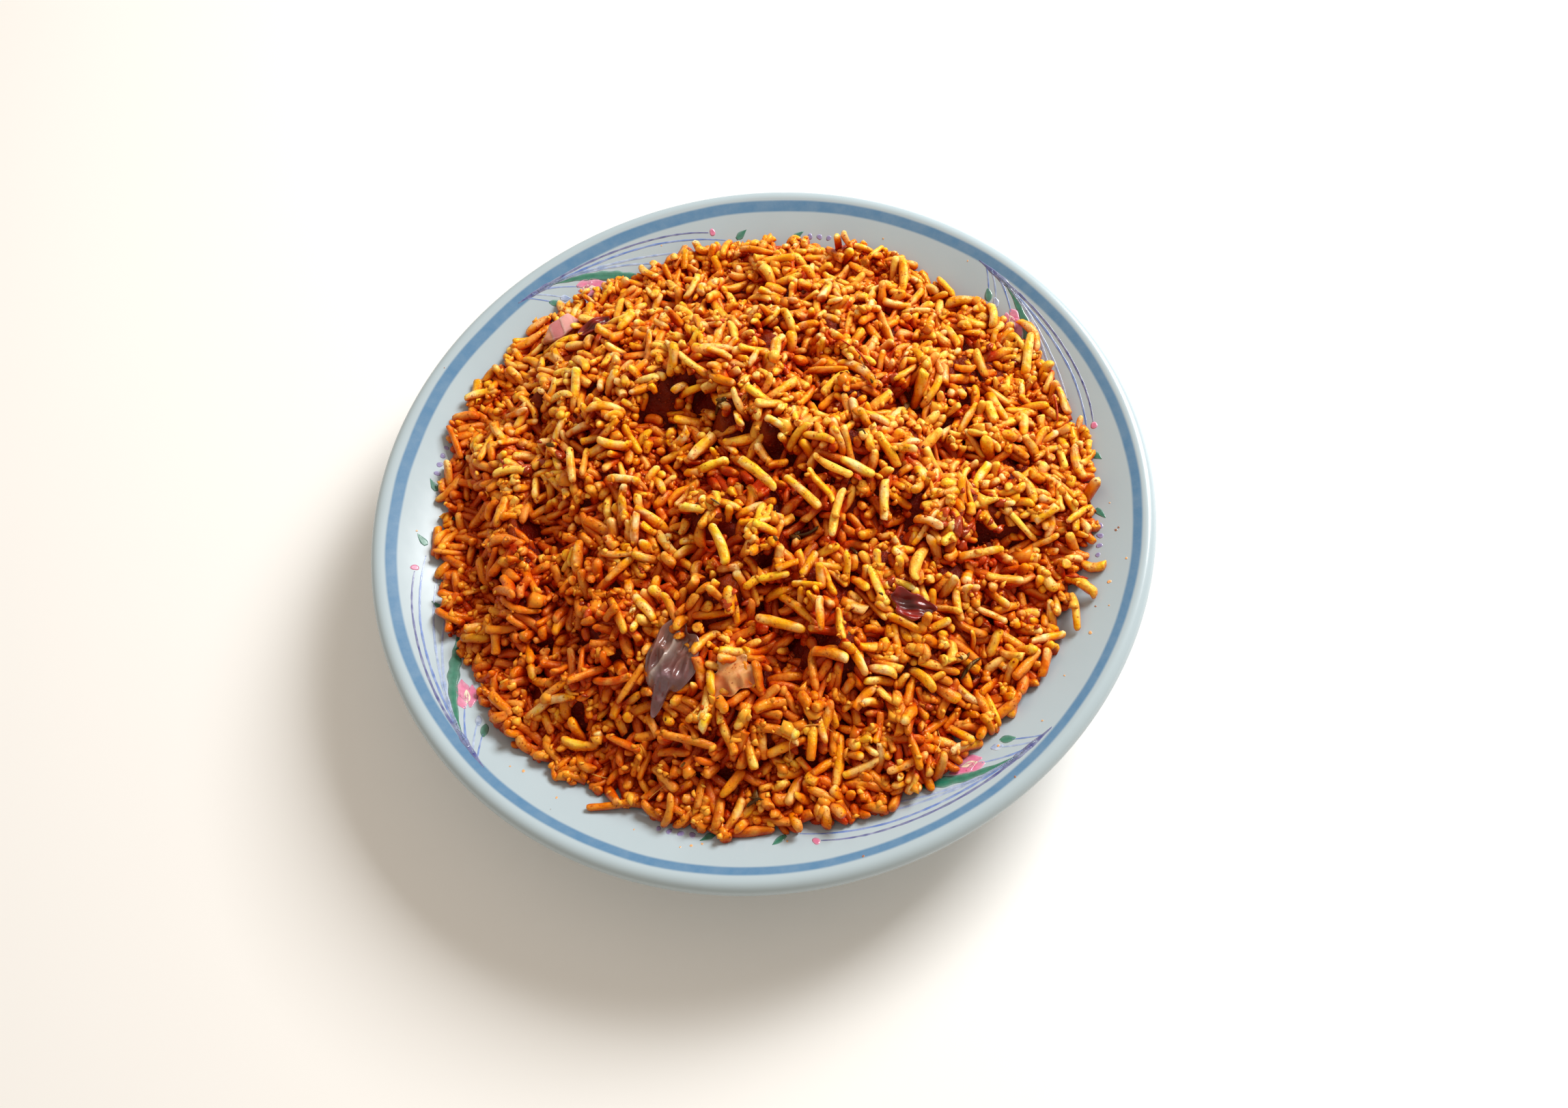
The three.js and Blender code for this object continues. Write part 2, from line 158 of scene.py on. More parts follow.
def mesh_piece(
    name: str,
    points: Array,
    triangles: Array,
    tint: Array | None = None,
    smooth: bool = True,
) -> bpy.types.Object:
    """Makes one mesh object from arrays.

    Args:
        name: Object's name.
        points: Vertices in millimetres, one row each.
        triangles: Vertex numbers, three to a row.
        tint: Linear colour of each vertex, three to a row, kept as the colour attribute "tint".
        smooth: Whether faces are shaded smooth.

    Returns:
        The object, linked to the scene.
    """
    mesh = bpy.data.meshes.new(name)
    mesh.vertices.add(len(points))
    mesh.vertices.foreach_set("co", (points * MM).astype(np.float32).ravel())
    mesh.loops.add(triangles.size)
    mesh.loops.foreach_set("vertex_index", triangles.astype(np.int32).ravel())
    mesh.polygons.add(len(triangles))
    mesh.polygons.foreach_set("loop_start", np.arange(0, triangles.size, 3, dtype=np.int32))
    mesh.polygons.foreach_set("use_smooth", np.full(len(triangles), smooth))
    if tint is not None:
        layer = mesh.attributes.new("tint", "FLOAT_COLOR", "POINT")
        rows = np.ones((len(points), 4), np.float32)
        rows[:, :3] = tint[:, :3]
        layer.data.foreach_set("color", rows.ravel())
    mesh.update(calc_edges=True)
    mesh.validate()
    piece = bpy.data.objects.new(name, mesh)
    bpy.context.scene.collection.objects.link(piece)
    return piece


def grid_triangles(rows: int, columns: int) -> Array:
    """Numbers the triangles between rings of vertices laid out one after the other.

    Args:
        rows: Number of rings.
        columns: Vertices in a ring, whose last joins the first.

    Returns:
        Triangles that face along the way from ring to ring crossed with the way round.
    """
    across = np.arange(columns)
    beside = (across + 1) % columns
    starts = (np.arange(rows - 1) * columns)[:, None]
    a, b = starts + across, starts + beside
    c, d = a + columns, b + columns
    return np.concatenate([np.stack(corners, -1).reshape(-1, 3) for corners in ((a, c, b), (b, c, d))])


def capped_triangles(rows: int, columns: int) -> Array:
    """Numbers the triangles of a closed body of rings with a fan at each end.

    Args:
        rows: Number of rings.
        columns: Vertices in a ring.

    Returns:
        The triangles, which face outward.
    """
    caps = np.array([(0, i, i + 1) for i in range(1, columns - 1)])
    grid = grid_triangles(rows, columns)
    return np.concatenate((grid, caps, caps[:, ::-1] + (rows - 1) * columns))


def pointed_triangles(rows: int, columns: int) -> Array:
    """Numbers the triangles of rings that face the other way, with one more vertex at each end.

    Args:
        rows: Number of rings.
        columns: Vertices in a ring.

    Returns:
        The triangles; the vertex of each end comes after the rings.
    """
    around = np.arange(columns)
    beside = (around + 1) % columns
    first, last = rows * columns, (rows - 1) * columns
    start = np.stack((np.full(columns, first), beside, around), -1)
    end = np.stack((np.full(columns, first + 1), last + around, last + beside), -1)
    return np.concatenate((grid_triangles(rows, columns)[:, ::-1], start, end))


def copies(triangles: Array, number: int, size: int) -> Array:
    """Numbers the triangles of many bodies of one size in a row."""
    return (triangles[None] + (np.arange(number) * size)[:, None, None]).reshape(-1, 3)


def joined(parts: list[Arrays]) -> Arrays:
    """Joins meshes into one.

    Args:
        parts: The meshes.

    Returns:
        Vertices, triangles and tints of the whole.
    """
    starts = np.cumsum([0, *(len(points) for points, _, _ in parts)])
    return (
        np.concatenate([points for points, _, _ in parts]),
        np.concatenate([triangles + start for (_, triangles, _), start in zip(parts, starts)]),
        np.concatenate([tint for _, _, tint in parts]),
    )


def dress(name: str, mesh: Arrays, material: bpy.types.Material, slot: str, *nodes: str) -> None:
    """Makes a piece of the part: its mesh, its material and its body, and hides the CAD nodes that it stands
    for.

    Args:
        name: The piece's name.
        mesh: Its vertices, its triangles and, where it has one, its tint.
        material: Its material.
        slot: Not used.
        *nodes: CAD nodes that the piece stands for.
    """
    piece = mesh_piece(name, *mesh)
    piece.data.materials.append(material)
    LOG.info("%s: %d triangles", name, len(piece.data.polygons))
    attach(piece, BODY)
    if nodes:
        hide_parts(*nodes)


# Forms that the CAD model and this scene share

@dataclass(frozen=True)
class DishForm:
    """The dish's cross-section, with the CAD model's own sizes."""

    rim_radius: float = 105.0
    height: float = 34.0
    lip_round: float = 2.6
    lip_outer_degrees: float = -99.0
    lip_inner_degrees: float = 115.0
    floor_level: float = 7.0
    floor_radius: float = 42.0
    wall_pull: float = 30.0
    floor_pull: float = 16.0
    foot_radius: float = 57.0
    foot_width: float = 5.0
    foot_height: float = 4.5
    foot_bevel: float = 0.8
    foot_pull: float = 12.0
    rim_pull: float = 22.0
    recess_level: float = 3.0

    def lip_points(self, degrees: Array) -> Array:
        """Points of the rolled lip as rows of radius and height."""
        middle = np.array((self.rim_radius - self.lip_round, self.height - self.lip_round))
        return middle + self.lip_round * polar(1, np.radians(degrees))

    @staticmethod
    def curve(controls: list[Array], count: int) -> Array:
        """Points of a cubic curve through its four control points.

        Args:
            controls: Start, two handles and end.
            count: Points wanted.

        Returns:
            Rows of radius and height.
        """
        share = np.linspace(0, 1, count)[:, None]
        rest = 1 - share
        start, first, second, end = controls
        handles = 3 * rest**2 * share * first + 3 * rest * share**2 * second
        return rest**3 * start + handles + share**3 * end

    def inner_wall(self, count: int) -> Array:
        """Points of the inside from the lip down to the flat middle.

        Args:
            count: Points wanted.

        Returns:
            Rows of radius and height.
        """
        top = self.lip_points(np.array([self.lip_inner_degrees]))[0]
        leave = top + self.wall_pull * heading_of(self.lip_inner_degrees + 90)
        end = np.array((self.floor_radius, self.floor_level))
        return self.curve([top, leave, end + np.array((self.floor_pull, 0)), end], count)

    def outer_wall(self, count: int) -> Array:
        """Points of the outside from the foot up to the lip.

        Args:
            count: Points wanted.

        Returns:
            Rows of radius and height.
        """
        start = np.array((self.foot_radius + 0.5, self.foot_height))
        first = np.array((self.foot_radius + self.foot_pull, self.foot_height + 5))
        second = np.array((self.rim_radius - self.rim_pull, self.height - 12))
        end = self.lip_points(np.array([self.lip_outer_degrees]))[0]
        return self.curve([start, first, second, end], count)

    def inside(self, radius: Array) -> Arrays:
        """Height and steepness of the inside.

        Args:
            radius: Distances from the dish's middle.

        Returns:
            The level and the slope at each distance.
        """
        wall = self.inner_wall(400)[::-1]
        slope = np.gradient(wall[:, 1], wall[:, 0])
        level = np.interp(radius, wall[:, 0], wall[:, 1])
        return level, np.interp(radius, wall[:, 0], slope, left=0.0)

    def rest_level(self, radius: Array, lift: float) -> Array:
        """Level of a point that keeps a distance from the inside, square to the wall."""
        level, slope = self.inside(radius)
        return level + lift * np.hypot(1, slope)

    def on_wall(self, angle: Array, radius: Array, lift: float) -> Array:
        """Points a small distance off the inside, square to it.

        Args:
            angle: Directions from the dish's middle, in radians.
            radius: Distances of the points below them on the glaze.
            lift: Distance off the glaze, negative for under it.

        Returns:
            The points.
        """
        level, slope = self.inside(radius)
        length = np.hypot(1, slope)
        out = radius - lift * slope / length
        return np.stack((out * np.cos(angle), out * np.sin(angle), level + lift / length), -1)

    def film_disc(self, angle: float, radius: float, size: float, film: float, sunk: float) -> Arrays:
        """Builds a round dab that lies on the inside as a closed film.

        Args:
            angle: Direction of its middle in degrees.
            radius: Distance of its middle.
            size: Its own radius.
            film: How far its top stands off the glaze.
            sunk: How far its underside lies in the glaze.

        Returns:
            Vertices, triangles and the share of the way out to the rim of each vertex.
        """
        steps = 16
        middle = heading_of(angle) * radius
        rim = full_turn(steps)
        wave = 1 + 0.12 * np.sin(2 * rim + angle) + 0.06 * np.sin(3 * rim + 2 * angle)
        shares = (0.02, 0.6, 1.0, 1.0, 0.02)
        layers = []
        for share, lift in zip(shares, (film, film, film, -sunk, -sunk)):
            x, y = (middle + size * share * polar(wave, rim)).T
            layers.append(self.on_wall(np.arctan2(y, x), np.hypot(x, y), lift))
        return np.concatenate(layers), capped_triangles(len(layers), steps), np.repeat(shares, steps)

    def profile(self) -> Array:
        """Whole cross-section from the middle of the underside round to the middle of the inside.

        Returns:
            Rows of radius and height.
        """
        inner_foot = self.foot_radius - self.foot_width
        bevel = self.foot_bevel * polar(1, np.radians(np.linspace(-90, 0, 5)))
        outer_round = np.array((self.foot_radius - self.foot_bevel, self.foot_bevel)) + bevel
        inner_round = np.array((inner_foot + self.foot_bevel, self.foot_bevel)) + bevel[::-1] * (-1, 1)
        under = np.linspace(0.5, inner_foot - 1.6, 8)
        lip = self.lip_points(np.linspace(self.lip_outer_degrees, self.lip_inner_degrees, 26)[1:-1])
        middle = np.linspace(self.floor_radius - 4, 0.5, 6)
        return np.concatenate((
            np.stack((under, np.full(len(under), self.recess_level)), -1),
            np.array(((inner_foot - 0.5, self.recess_level - 0.4),)),
            inner_round,
            outer_round,
            self.outer_wall(22),
            lip,
            self.inner_wall(60),
            np.stack((middle, np.full(len(middle), self.floor_level)), -1),
        ))


@dataclass(frozen=True)
class Mound:
    """One mound or hollow of the heap: place, half length, half width, heading in degrees, height."""

    x: float
    y: float
    long: float
    wide: float
    heading: float
    height: float

    def height_at(self, x: Array, y: Array) -> Array:
        """Height that the mound adds at each place."""
        along, across = lengthwise(x - self.x, y - self.y, self.heading)
        return self.height * np.exp(-((along / self.long) ** 2) - (across / self.wide) ** 2)


@dataclass(frozen=True)
class Wave:
    """One ripple: radians per millimetre across and along the plate, phase and height."""

    across: float
    along: float
    phase: float
    height: float

    def height_at(self, x: Array, y: Array) -> Array:
        """Height that the ripple adds at each place."""
        return self.height * np.sin(self.across * x + self.along * y + self.phase)


@dataclass(frozen=True)
class HeapForm:
    """The heap's outer form with the CAD model's own sizes, and the clods that only the looks have.

    Steady spots are places under the cut pieces: x, y, reach and the level that they keep off the skin.
    """

    dish: DishForm
    radius: float = 86.5
    peak: float = 51.5
    edge: float = 1.8
    gap: float = 0.4
    dome_power: float = 2.2
    calm_power: float = 6.0
    outline: tuple[tuple[int, float, float], ...] = ((3, 0.010, 0.6), (5, 0.009, 2.1), (11, 0.006, 4.0))
    mounds: tuple[Mound, ...] = tuple(Mound(*row) for row in (
        (2, 27, 30, 9, -43, 2.8), (-30, 10, 19, 9, -30, -3.6), (-15, -28, 11, 8, -60, 3.4),
        (7, -41, 12, 7, -65, 2.6), (-4, -40, 8, 4.5, -70, -3.2), (-28, -42, 12, 8, -120, -2.4),
        (-43, -12, 10, 8, 20, 2.6), (-46, 22, 12, 9, 60, 1.6), (54, 6, 15, 9, -50, 2.2),
        (42, 12, 10, 6, -80, -2.4), (20, -20, 12, 7, 15, 1.8), (32, -45, 10, 7, 10, -2.2),
        (8, 66, 14, 8, 5, 2.4), (-24, 66, 10, 7, 25, 1.8), (10, -68, 12, 7, 10, 1.8),
        (-34, -66, 12, 7, -30, 1.4), (56, -44, 9, 6, -40, -1.8), (58, 36, 12, 7, -45, 1.5),
    ))
    ripples: tuple[Wave, ...] = (
        Wave(0.21, 0.13, 0.4, 0.55),
        Wave(-0.16, 0.27, 2.0, 0.5),
        Wave(0.33, -0.22, 4.4, 0.35),
    )
    clod_size: float = 11.0
    clod_height: float = 7.0
    crag_size: float = 4.8
    crag_height: float = 2.0
    crevice_size: float = 15.0
    crevice_width: float = 0.16
    crevice_depth: float = 4.0
    deepest: float = 5.0
    highest: float = 4.0
    sunk: float = 0.6
    steady_spots: tuple[tuple[float, float, float, float], ...] = (
        (-29.5, -47, 15, 1.6),
        (-43.5, 67, 9, 0.2),
        (-15, -54, 10, 2.3),
        (31.5, -46, 9, 1.0),
        (-33, 62, 8, 0.5),
    )
    top_limit: float = 55.2

    def edge_radius(self, angle: Array) -> Array:
        """Finds how far from the middle the heap's edge lies.

        Args:
            angle: Directions in radians.

        Returns:
            The distances.
        """
        share = np.ones_like(angle)
        for turns, size, phase in self.outline:
            share = share + size * np.sin(turns * angle + phase)
        return self.radius * share

    def level(self, x: Array, y: Array) -> Array:
        """Finds the height of the heap's skin.

        Args:
            x: The places' x.
            y: The places' y.

        Returns:
            The skin's heights.
        """
        reach = self.edge_radius(np.arctan2(y, x))
        share = np.minimum(1, np.hypot(x, y) / reach)
        edge = self.dish.rest_level(reach, self.gap) + self.edge
        dome = edge + (self.peak - edge) * (1 - share**self.dome_power)
        relief = sum(form.height_at(x, y) for form in (*self.mounds, *self.ripples))
        return dome + relief * (1 - share**self.calm_power)

    def near_spots(self, x: Array, y: Array) -> list[tuple[Array, float]]:
        """How near places are to each steady spot, from 0 to 1, and the level that the spot keeps."""
        return [
            (np.exp(-((np.hypot(x - spot_x, y - spot_y) / reach) ** 4)), lift)
            for spot_x, spot_y, reach, lift in self.steady_spots
        ]

    def mass_level(self, x: Array, y: Array) -> Array:
        """Finds the height of the skin with its large clods.

        Args:
            x: The places' x.
            y: The places' y.

        Returns:
            The heights.
        """
        clods = self.clod_height * lattice_noise(on_plane(x, y), self.clod_size, 5)
        share = np.hypot(x, y) / self.edge_radius(np.arctan2(y, x))
        deepest = self.deepest * (1 - 0.85 * smooth_step((share - 0.7) / 0.2))
        relief = np.clip(clods, -deepest, self.highest) - self.sunk
        for near, lift in self.near_spots(x, y):
            relief = relief * (1 - near) + lift * near
        return np.minimum(self.level(x, y) + relief, self.top_limit)

    def clod_level(self, x: Array, y: Array) -> Array:
        """Finds the height of the skin with its clods, crags of a few grains and crevices.

        Args:
            x: The places' x.
            y: The places' y.

        Returns:
            The heights.
        """
        points = on_plane(x, y)
        crags = self.crag_height * lattice_noise(points, self.crag_size, 6)
        line = lattice_noise(points, self.crevice_size, 7) + 0.35 * lattice_noise(points, self.crag_size, 8)
        calm = 1 - np.minimum(1, np.hypot(x, y) / self.radius) ** 6
        for near, _ in self.near_spots(x, y):
            calm = calm * (1 - near)
        crevices = self.crevice_depth * np.exp(-((line / self.crevice_width) ** 2)) * calm
        return np.minimum(self.mass_level(x, y) + crags - crevices, self.top_limit)


# Shader building

class ShaderBuilder:
    """Adds nodes to a tree and joins them, from left to right."""

    def __init__(self, tree: bpy.types.NodeTree) -> None:
        """Starts with an empty tree."""
        self.tree = tree
        self.tree.nodes.clear()

    def add(self, kind: str, values: dict | None = None, **settings: object) -> bpy.types.Node:
        """Adds a node.

        Args:
            kind: The node's type name without its "ShaderNode" start, or the whole name.
            values: Input name or number to a value or an output socket.
            **settings: The node's own properties.

        Returns:
            The new node.
        """
        node = self.tree.nodes.new(kind if kind.startswith(("Node", "Shader")) else "ShaderNode" + kind)
        for name, value in settings.items():
            setattr(node, name, value)
        for name, value in (values or {}).items():
            if isinstance(value, Socket):
                self.tree.links.new(value, node.inputs[name])
            else:
                node.inputs[name].default_value = value
        return node

    def math(self, operation: str, *values: object, clamp: bool = False) -> Socket:
        """Adds a Math node and gives its output."""
        return self.add("Math", dict(enumerate(values)), operation=operation, use_clamp=clamp).outputs[0]

    def times(self, first: object, second: object) -> Socket:
        """Multiplies two values."""
        return self.math("MULTIPLY", first, second)

    def vector(self, operation: str, values: dict, output: int | str = 0) -> Socket:
        """Adds a Vector Math node and gives one of its outputs."""
        return self.add("VectorMath", values, operation=operation).outputs[output]

    def mix(self, share: object, first: object, second: object, blend: str = "MIX") -> Socket:
        """Mixes two colours and gives the result."""
        node = self.add("Mix", {0: share, 6: first, 7: second}, data_type="RGBA", blend_type=blend)
        return node.outputs[2]

    def noise(self, place: object, scale: object, detail: float = 2.0, rough: float = 0.5) -> Socket:
        """Adds a Noise texture and gives its value."""
        values = {"Vector": place, "Scale": scale, "Detail": detail, "Roughness": rough}
        return self.add("TexNoise", values).outputs[0]

    def ramp(self, value: object, low: float, high: float) -> Socket:
        """Maps a value's stretch from low to high onto 0 to 1, eased at both ends."""
        inputs = {"Value": value, "From Min": low, "From Max": high}
        return self.add("MapRange", inputs, interpolation_type="SMOOTHSTEP").outputs[0]

    def effect(self, group: bpy.types.NodeTree, place: object, **values: float) -> Socket:
        """Places a shared group.

        Args:
            group: The shared group.
            place: The surface's own coordinates.
            **values: Values of the group's inputs.

        Returns:
            The group's output.
        """
        node = self.add("ShaderNodeGroup", node_tree=group)
        self.tree.links.new(place, node.inputs["Vector"])
        for name, value in values.items():
            node.inputs[name].default_value = value
        return node.outputs[0]

    def principled(self, values: dict) -> None:
        """Ends a material with a Principled surface."""
        surface = self.add("BsdfPrincipled", values)
        self.add("OutputMaterial", {"Surface": surface.outputs[0]})


def start_material(name: str) -> tuple[bpy.types.Material, ShaderBuilder]:
    """Makes an empty node material.

    Args:
        name: The material's name.

    Returns:
        The material and a builder for its tree.
    """
    material = bpy.data.materials.new(name)
    material.use_nodes = True
    return material, ShaderBuilder(material.node_tree)


def start_group(
    name: str,
    inputs: dict[str, float],
    output: str,
) -> tuple[bpy.types.NodeTree, ShaderBuilder]:
    """Makes an empty shader node group with a Vector input and number inputs.

    Args:
        name: The group's name.
        inputs: Input names and their usual values.
        output: Name of its one output, a number.

    Returns:
        The group and a builder for its tree.
    """
    tree = bpy.data.node_groups.new(name, "ShaderNodeTree")
    build = ShaderBuilder(tree)
    tree.interface.new_socket("Vector", in_out="INPUT", socket_type="NodeSocketVector")
    for label, value in inputs.items():
        socket = tree.interface.new_socket(label, in_out="INPUT", socket_type="NodeSocketFloat")
        socket.default_value = value
    tree.interface.new_socket(output, in_out="OUTPUT", socket_type="NodeSocketFloat")
    return tree, build


@cache
def flecks_group() -> bpy.types.NodeTree:
    """Scattered round flecks: the mask is 1 on a fleck and 0 between them.

    Returns:
        The group, made once.
    """
    tree, build = start_group("flecks", {"Scale": 900.0, "Share": 0.3, "Size": 0.3}, "Mask")
    given = build.add("NodeGroupInput").outputs
    blur = build.add("TexNoise", {"Vector": given["Vector"], "Scale": 1700.0, "Detail": 3.0})
    offset = build.vector("SUBTRACT", {0: blur.outputs["Color"], 1: (0.5, 0.5, 0.5)})
    shift = build.vector("SCALE", {0: offset, 3: 0.001})
    place = build.vector("ADD", {0: given["Vector"], 1: shift})
    cells = build.add("TexVoronoi", {"Vector": place, "Scale": given["Scale"]}).outputs
    chosen = build.add("SeparateColor", {0: cells["Color"]}).outputs
    is_fleck = build.math("LESS_THAN", chosen[0], given["Share"])
    size = build.times(given["Size"], build.math("ADD", 0.4, chosen[1]))
    inner = build.times(size, 0.6)
    edge = build.add("MapRange", {"Value": cells["Distance"], "From Min": size, "From Max": inner})
    mask = build.math("MULTIPLY", edge.outputs[0], is_fleck, clamp=True)
    build.add("NodeGroupOutput", {"Mask": mask})
    return tree


@cache
def mottle_group() -> bpy.types.NodeTree:
    """Cloudy variation round 1, for multiplying a colour's brightness or a roughness.

    Returns:
        The group, made once.
    """
    tree, build = start_group("mottle", {"Scale": 500.0, "Strength": 0.2}, "Factor")
    given = build.add("NodeGroupInput").outputs
    cloud = build.noise(given["Vector"], given["Scale"], 3.0)
    middle = build.math("SUBTRACT", cloud, 0.5)
    spread = build.times(middle, build.times(given["Strength"], 2.0))
    build.add("NodeGroupOutput", {"Factor": build.math("ADD", 1.0, spread)})
    return tree


@dataclass(frozen=True)
class FoodFinish:
    """A wet, slightly see-through food surface whose colour comes from the mesh's tint."""

    name: str
    roughness: float = 0.3
    scatter: float = 0.6
    scatter_depth: tuple[float, float, float] = (1.0, 0.7, 0.4)
    scatter_scale: float = 0.001
    coat: float = 0.2
    coat_roughness: float = 0.1
    specular: float = 0.5
    gloss_tint: Color = (1.0, 0.6, 0.12, 1.0)
    pool_scale: float = 620.0
    pool_range: tuple[float, float] = (0.48, 0.66)
    pool_stain: float = 0.55
    pool_color: Color = (0.86, 0.42, 0.16, 1.0)
    # Sauce and painted shade on steep sides: the range of upward normal over which it fades in, its strength
    # and its colour.
    side_range: tuple[float, float] = (-0.1, 0.92)
    side_stain_and_shade: float = 0.75
    side_stain_and_shade_color: Color = (0.94, 0.44, 0.14, 1.0)
    fleck_color: Color = field(default_factory=lambda: linear(160, 50, 6))
    fleck_share: float = 0.42
    fleck_size: float = 0.3
    fleck_scale: float = 1150.0
    fleck_weight: float = 0.75
    mottle: float = 0.2
    mottle_scale: float = 520.0
    bump: float = 0.5
    bump_scale: float = 900.0
    bump_depth: float = 0.0007
    transmission: float = 0.0

    def material(self) -> bpy.types.Material:
        """Builds the material: clouded tint, sauce in pools, sauce and painted shade on the sides, flecks
        and a fine bump.

        Returns:
            The finished material.
        """
        material, build = start_material(self.name)
        place = build.add("TexCoord").outputs["Object"]
        tint = build.add("Attribute", attribute_name="tint").outputs["Color"]
        flecks = build.effect(
            flecks_group(), place, Scale=self.fleck_scale, Share=self.fleck_share, Size=self.fleck_size)
        cloud = build.effect(mottle_group(), place, Scale=self.mottle_scale, Strength=self.mottle)
        clouded = build.vector("SCALE", {0: tint, 3: cloud})
        pool = build.noise(place, self.pool_scale, 3.0, 0.6)
        pooled = build.times(build.ramp(pool, *self.pool_range), self.pool_stain)
        stained = build.mix(pooled, clouded, build.mix(1.0, clouded, self.pool_color, "MULTIPLY"))
        # Sides, by how far the normal leans from up, are painted darker and redder than the tops: partly
        # sauce, partly painted shade.
        upward = build.add("SeparateXYZ", {0: build.add("NewGeometry").outputs["Normal"]}).outputs[2]
        steep = build.math("SUBTRACT", 1.0, build.ramp(upward, *self.side_range))
        side_stain_and_shade_share = build.times(steep, self.side_stain_and_shade)
        stained = build.mix(side_stain_and_shade_share, stained, build.mix(1.0, stained, self.side_stain_and_shade_color, "MULTIPLY"))
        color = build.mix(build.times(flecks, self.fleck_weight), stained, self.fleck_color)
        grain = build.noise(place, self.bump_scale, 4.0, 0.6)
        values = {"Strength": self.bump, "Distance": self.bump_depth, "Height": grain}
        bump = build.add("Bump", values).outputs[0]
        build.principled({
            "Base Color": color,
            "Roughness": build.times(cloud, self.roughness),
            "Normal": bump,
            "Specular IOR Level": self.specular,
            "Specular Tint": self.gloss_tint,
            "Subsurface Weight": self.scatter,
            "Subsurface Radius": self.scatter_depth,
            "Subsurface Scale": self.scatter_scale,
            "Coat Weight": self.coat,
            "Coat Roughness": self.coat_roughness,
            "Coat Normal": bump,
            "Transmission Weight": self.transmission,
        })
        return material


@dataclass(frozen=True)
class GlazeFinish:
    """White glaze with a hand-painted blue band round the inside of the rim."""

    band_radius: float = 99.5
    band_lean: float = 0.5
    band_lean_degrees: float = -45.0
    band_half: float = 1.38
    band_swell: float = 0.3
    band_swell_degrees: float = 110.0
    band_wobble: float = 0.9
    band_level: float = 28.0
    edge_softness: float = 0.5
    white: Color = field(default_factory=lambda: linear(172, 188, 196))
    blue: Color = field(default_factory=lambda: linear(82, 126, 164))
    speck: Color = field(default_factory=lambda: linear(120, 112, 100))
    roughness: float = 0.24

    @staticmethod
    def toward(build: ShaderBuilder, place: object, radius: object, degrees: float) -> Socket:
        """Cosine of the angle between a place's direction and a given one."""
        dot = build.vector("DOT_PRODUCT", {0: place, 1: (*heading_of(degrees), 0)}, "Value")
        return build.math("DIVIDE", dot, radius)

    def band_mask(self, build: ShaderBuilder, place: object) -> Socket:
        """Draws the band: leaning, swelling, uneven at its edges and streaked.

        Args:
            build: Builder of the material's tree.
            place: The surface's own coordinates.

        Returns:
            How thick the band's paint lies, from 0 to 1.
        """
        flat = build.vector("MULTIPLY", {0: place, 1: (1, 1, 0)})
        radius = build.vector("LENGTH", {0: flat}, "Value")
        lean, swell = (
            build.times(self.toward(build, flat, radius, degrees), size * MM)
            for degrees, size in (
                (self.band_lean_degrees, self.band_lean),
                (self.band_swell_degrees, self.band_swell),
            ))
        wobble = build.math("SUBTRACT", build.noise(flat, 28.0), 0.5)
        wobble = build.times(wobble, self.band_wobble * MM)
        middle = build.math("ADD", build.math("ADD", lean, wobble), self.band_radius * MM)
        half = build.math("ADD", swell, self.band_half * MM)
        away = build.math("ABSOLUTE", build.math("SUBTRACT", radius, middle))
        inside = build.math("DIVIDE", build.math("SUBTRACT", half, away), self.edge_softness * MM)
        height = build.add("SeparateXYZ", {0: place}).outputs[2]
        above = build.math("GREATER_THAN", height, self.band_level * MM)
        mask = build.times(build.ramp(inside, -0.5, 0.9), above)
        streaks = build.noise(flat, 230.0, 4.0, 0.65)
        body = build.math("ADD", 0.72, build.times(streaks, 0.42))
        return build.math("MULTIPLY", mask, body, clamp=True)

    def material(self) -> bpy.types.Material:
        """Builds the material.

        Returns:
            The finished material.
        """
        material, build = start_material("dish_glaze")
        place = build.add("TexCoord").outputs["Object"]
        cloud = build.effect(mottle_group(), place, Scale=60.0, Strength=0.035)
        white = build.vector("SCALE", {0: self.white[:3], 3: cloud})
        flecks = build.effect(flecks_group(), place, Scale=260.0, Share=0.05, Size=0.07)
        speckled = build.mix(build.times(flecks, 0.55), white, self.speck)
        peel = build.noise(place, 120.0)
        build.principled({
            "Base Color": build.mix(self.band_mask(build, place), speckled, self.blue),
            "Roughness": build.times(cloud, self.roughness),
            "Normal": build.add("Bump", {"Strength": 0.08, "Distance": 0.0006, "Height": peel}).outputs[0],
        })
        return material


@dataclass(frozen=True)
class PaintFinish:
    """Glossy paint under glaze: its colour comes from the mesh's tint."""

    name: str = "sprays_paint"
    roughness: float = 0.2
    coat: float = 0.3
    coat_roughness: float = 0.06

    def material(self) -> bpy.types.Material:
        """Builds the material.

        Returns:
            The finished material.
        """
        material, build = start_material(self.name)
        place = build.add("TexCoord").outputs["Object"]
        tint = build.add("Attribute", attribute_name="tint").outputs["Color"]
        cloud = build.effect(mottle_group(), place, Scale=900.0, Strength=0.35)
        build.principled({
            "Base Color": build.vector("SCALE", {0: tint, 3: cloud}),
            "Roughness": self.roughness,
            "Coat Weight": self.coat,
            "Coat Roughness": self.coat_roughness,
        })
        return material


# The dish

@dataclass
class Dish:
    """The glazed dish, turned as one closed solid."""

    form: DishForm
    steps: int = 240
    finish: GlazeFinish = GlazeFinish()

    def build(self) -> None:
        """Makes and dresses the dish."""
        profile = self.form.profile()
        angle = full_turn(self.steps)
        rings = np.stack((
            profile[:, None, 0] * np.cos(angle),
            profile[:, None, 0] * np.sin(angle),
            np.repeat(profile[:, 1:], self.steps, axis=1),
        ), -1)
        ends = np.array(((0, 0, profile[0, 1]), (0, 0, profile[-1, 1])))
        points = np.concatenate((rings.reshape(-1, 3), ends))
        mesh = (points, pointed_triangles(len(profile), self.steps))
        dress("dish", mesh, self.finish.material(), "dish_glaze", "plate")


# Painted sprays

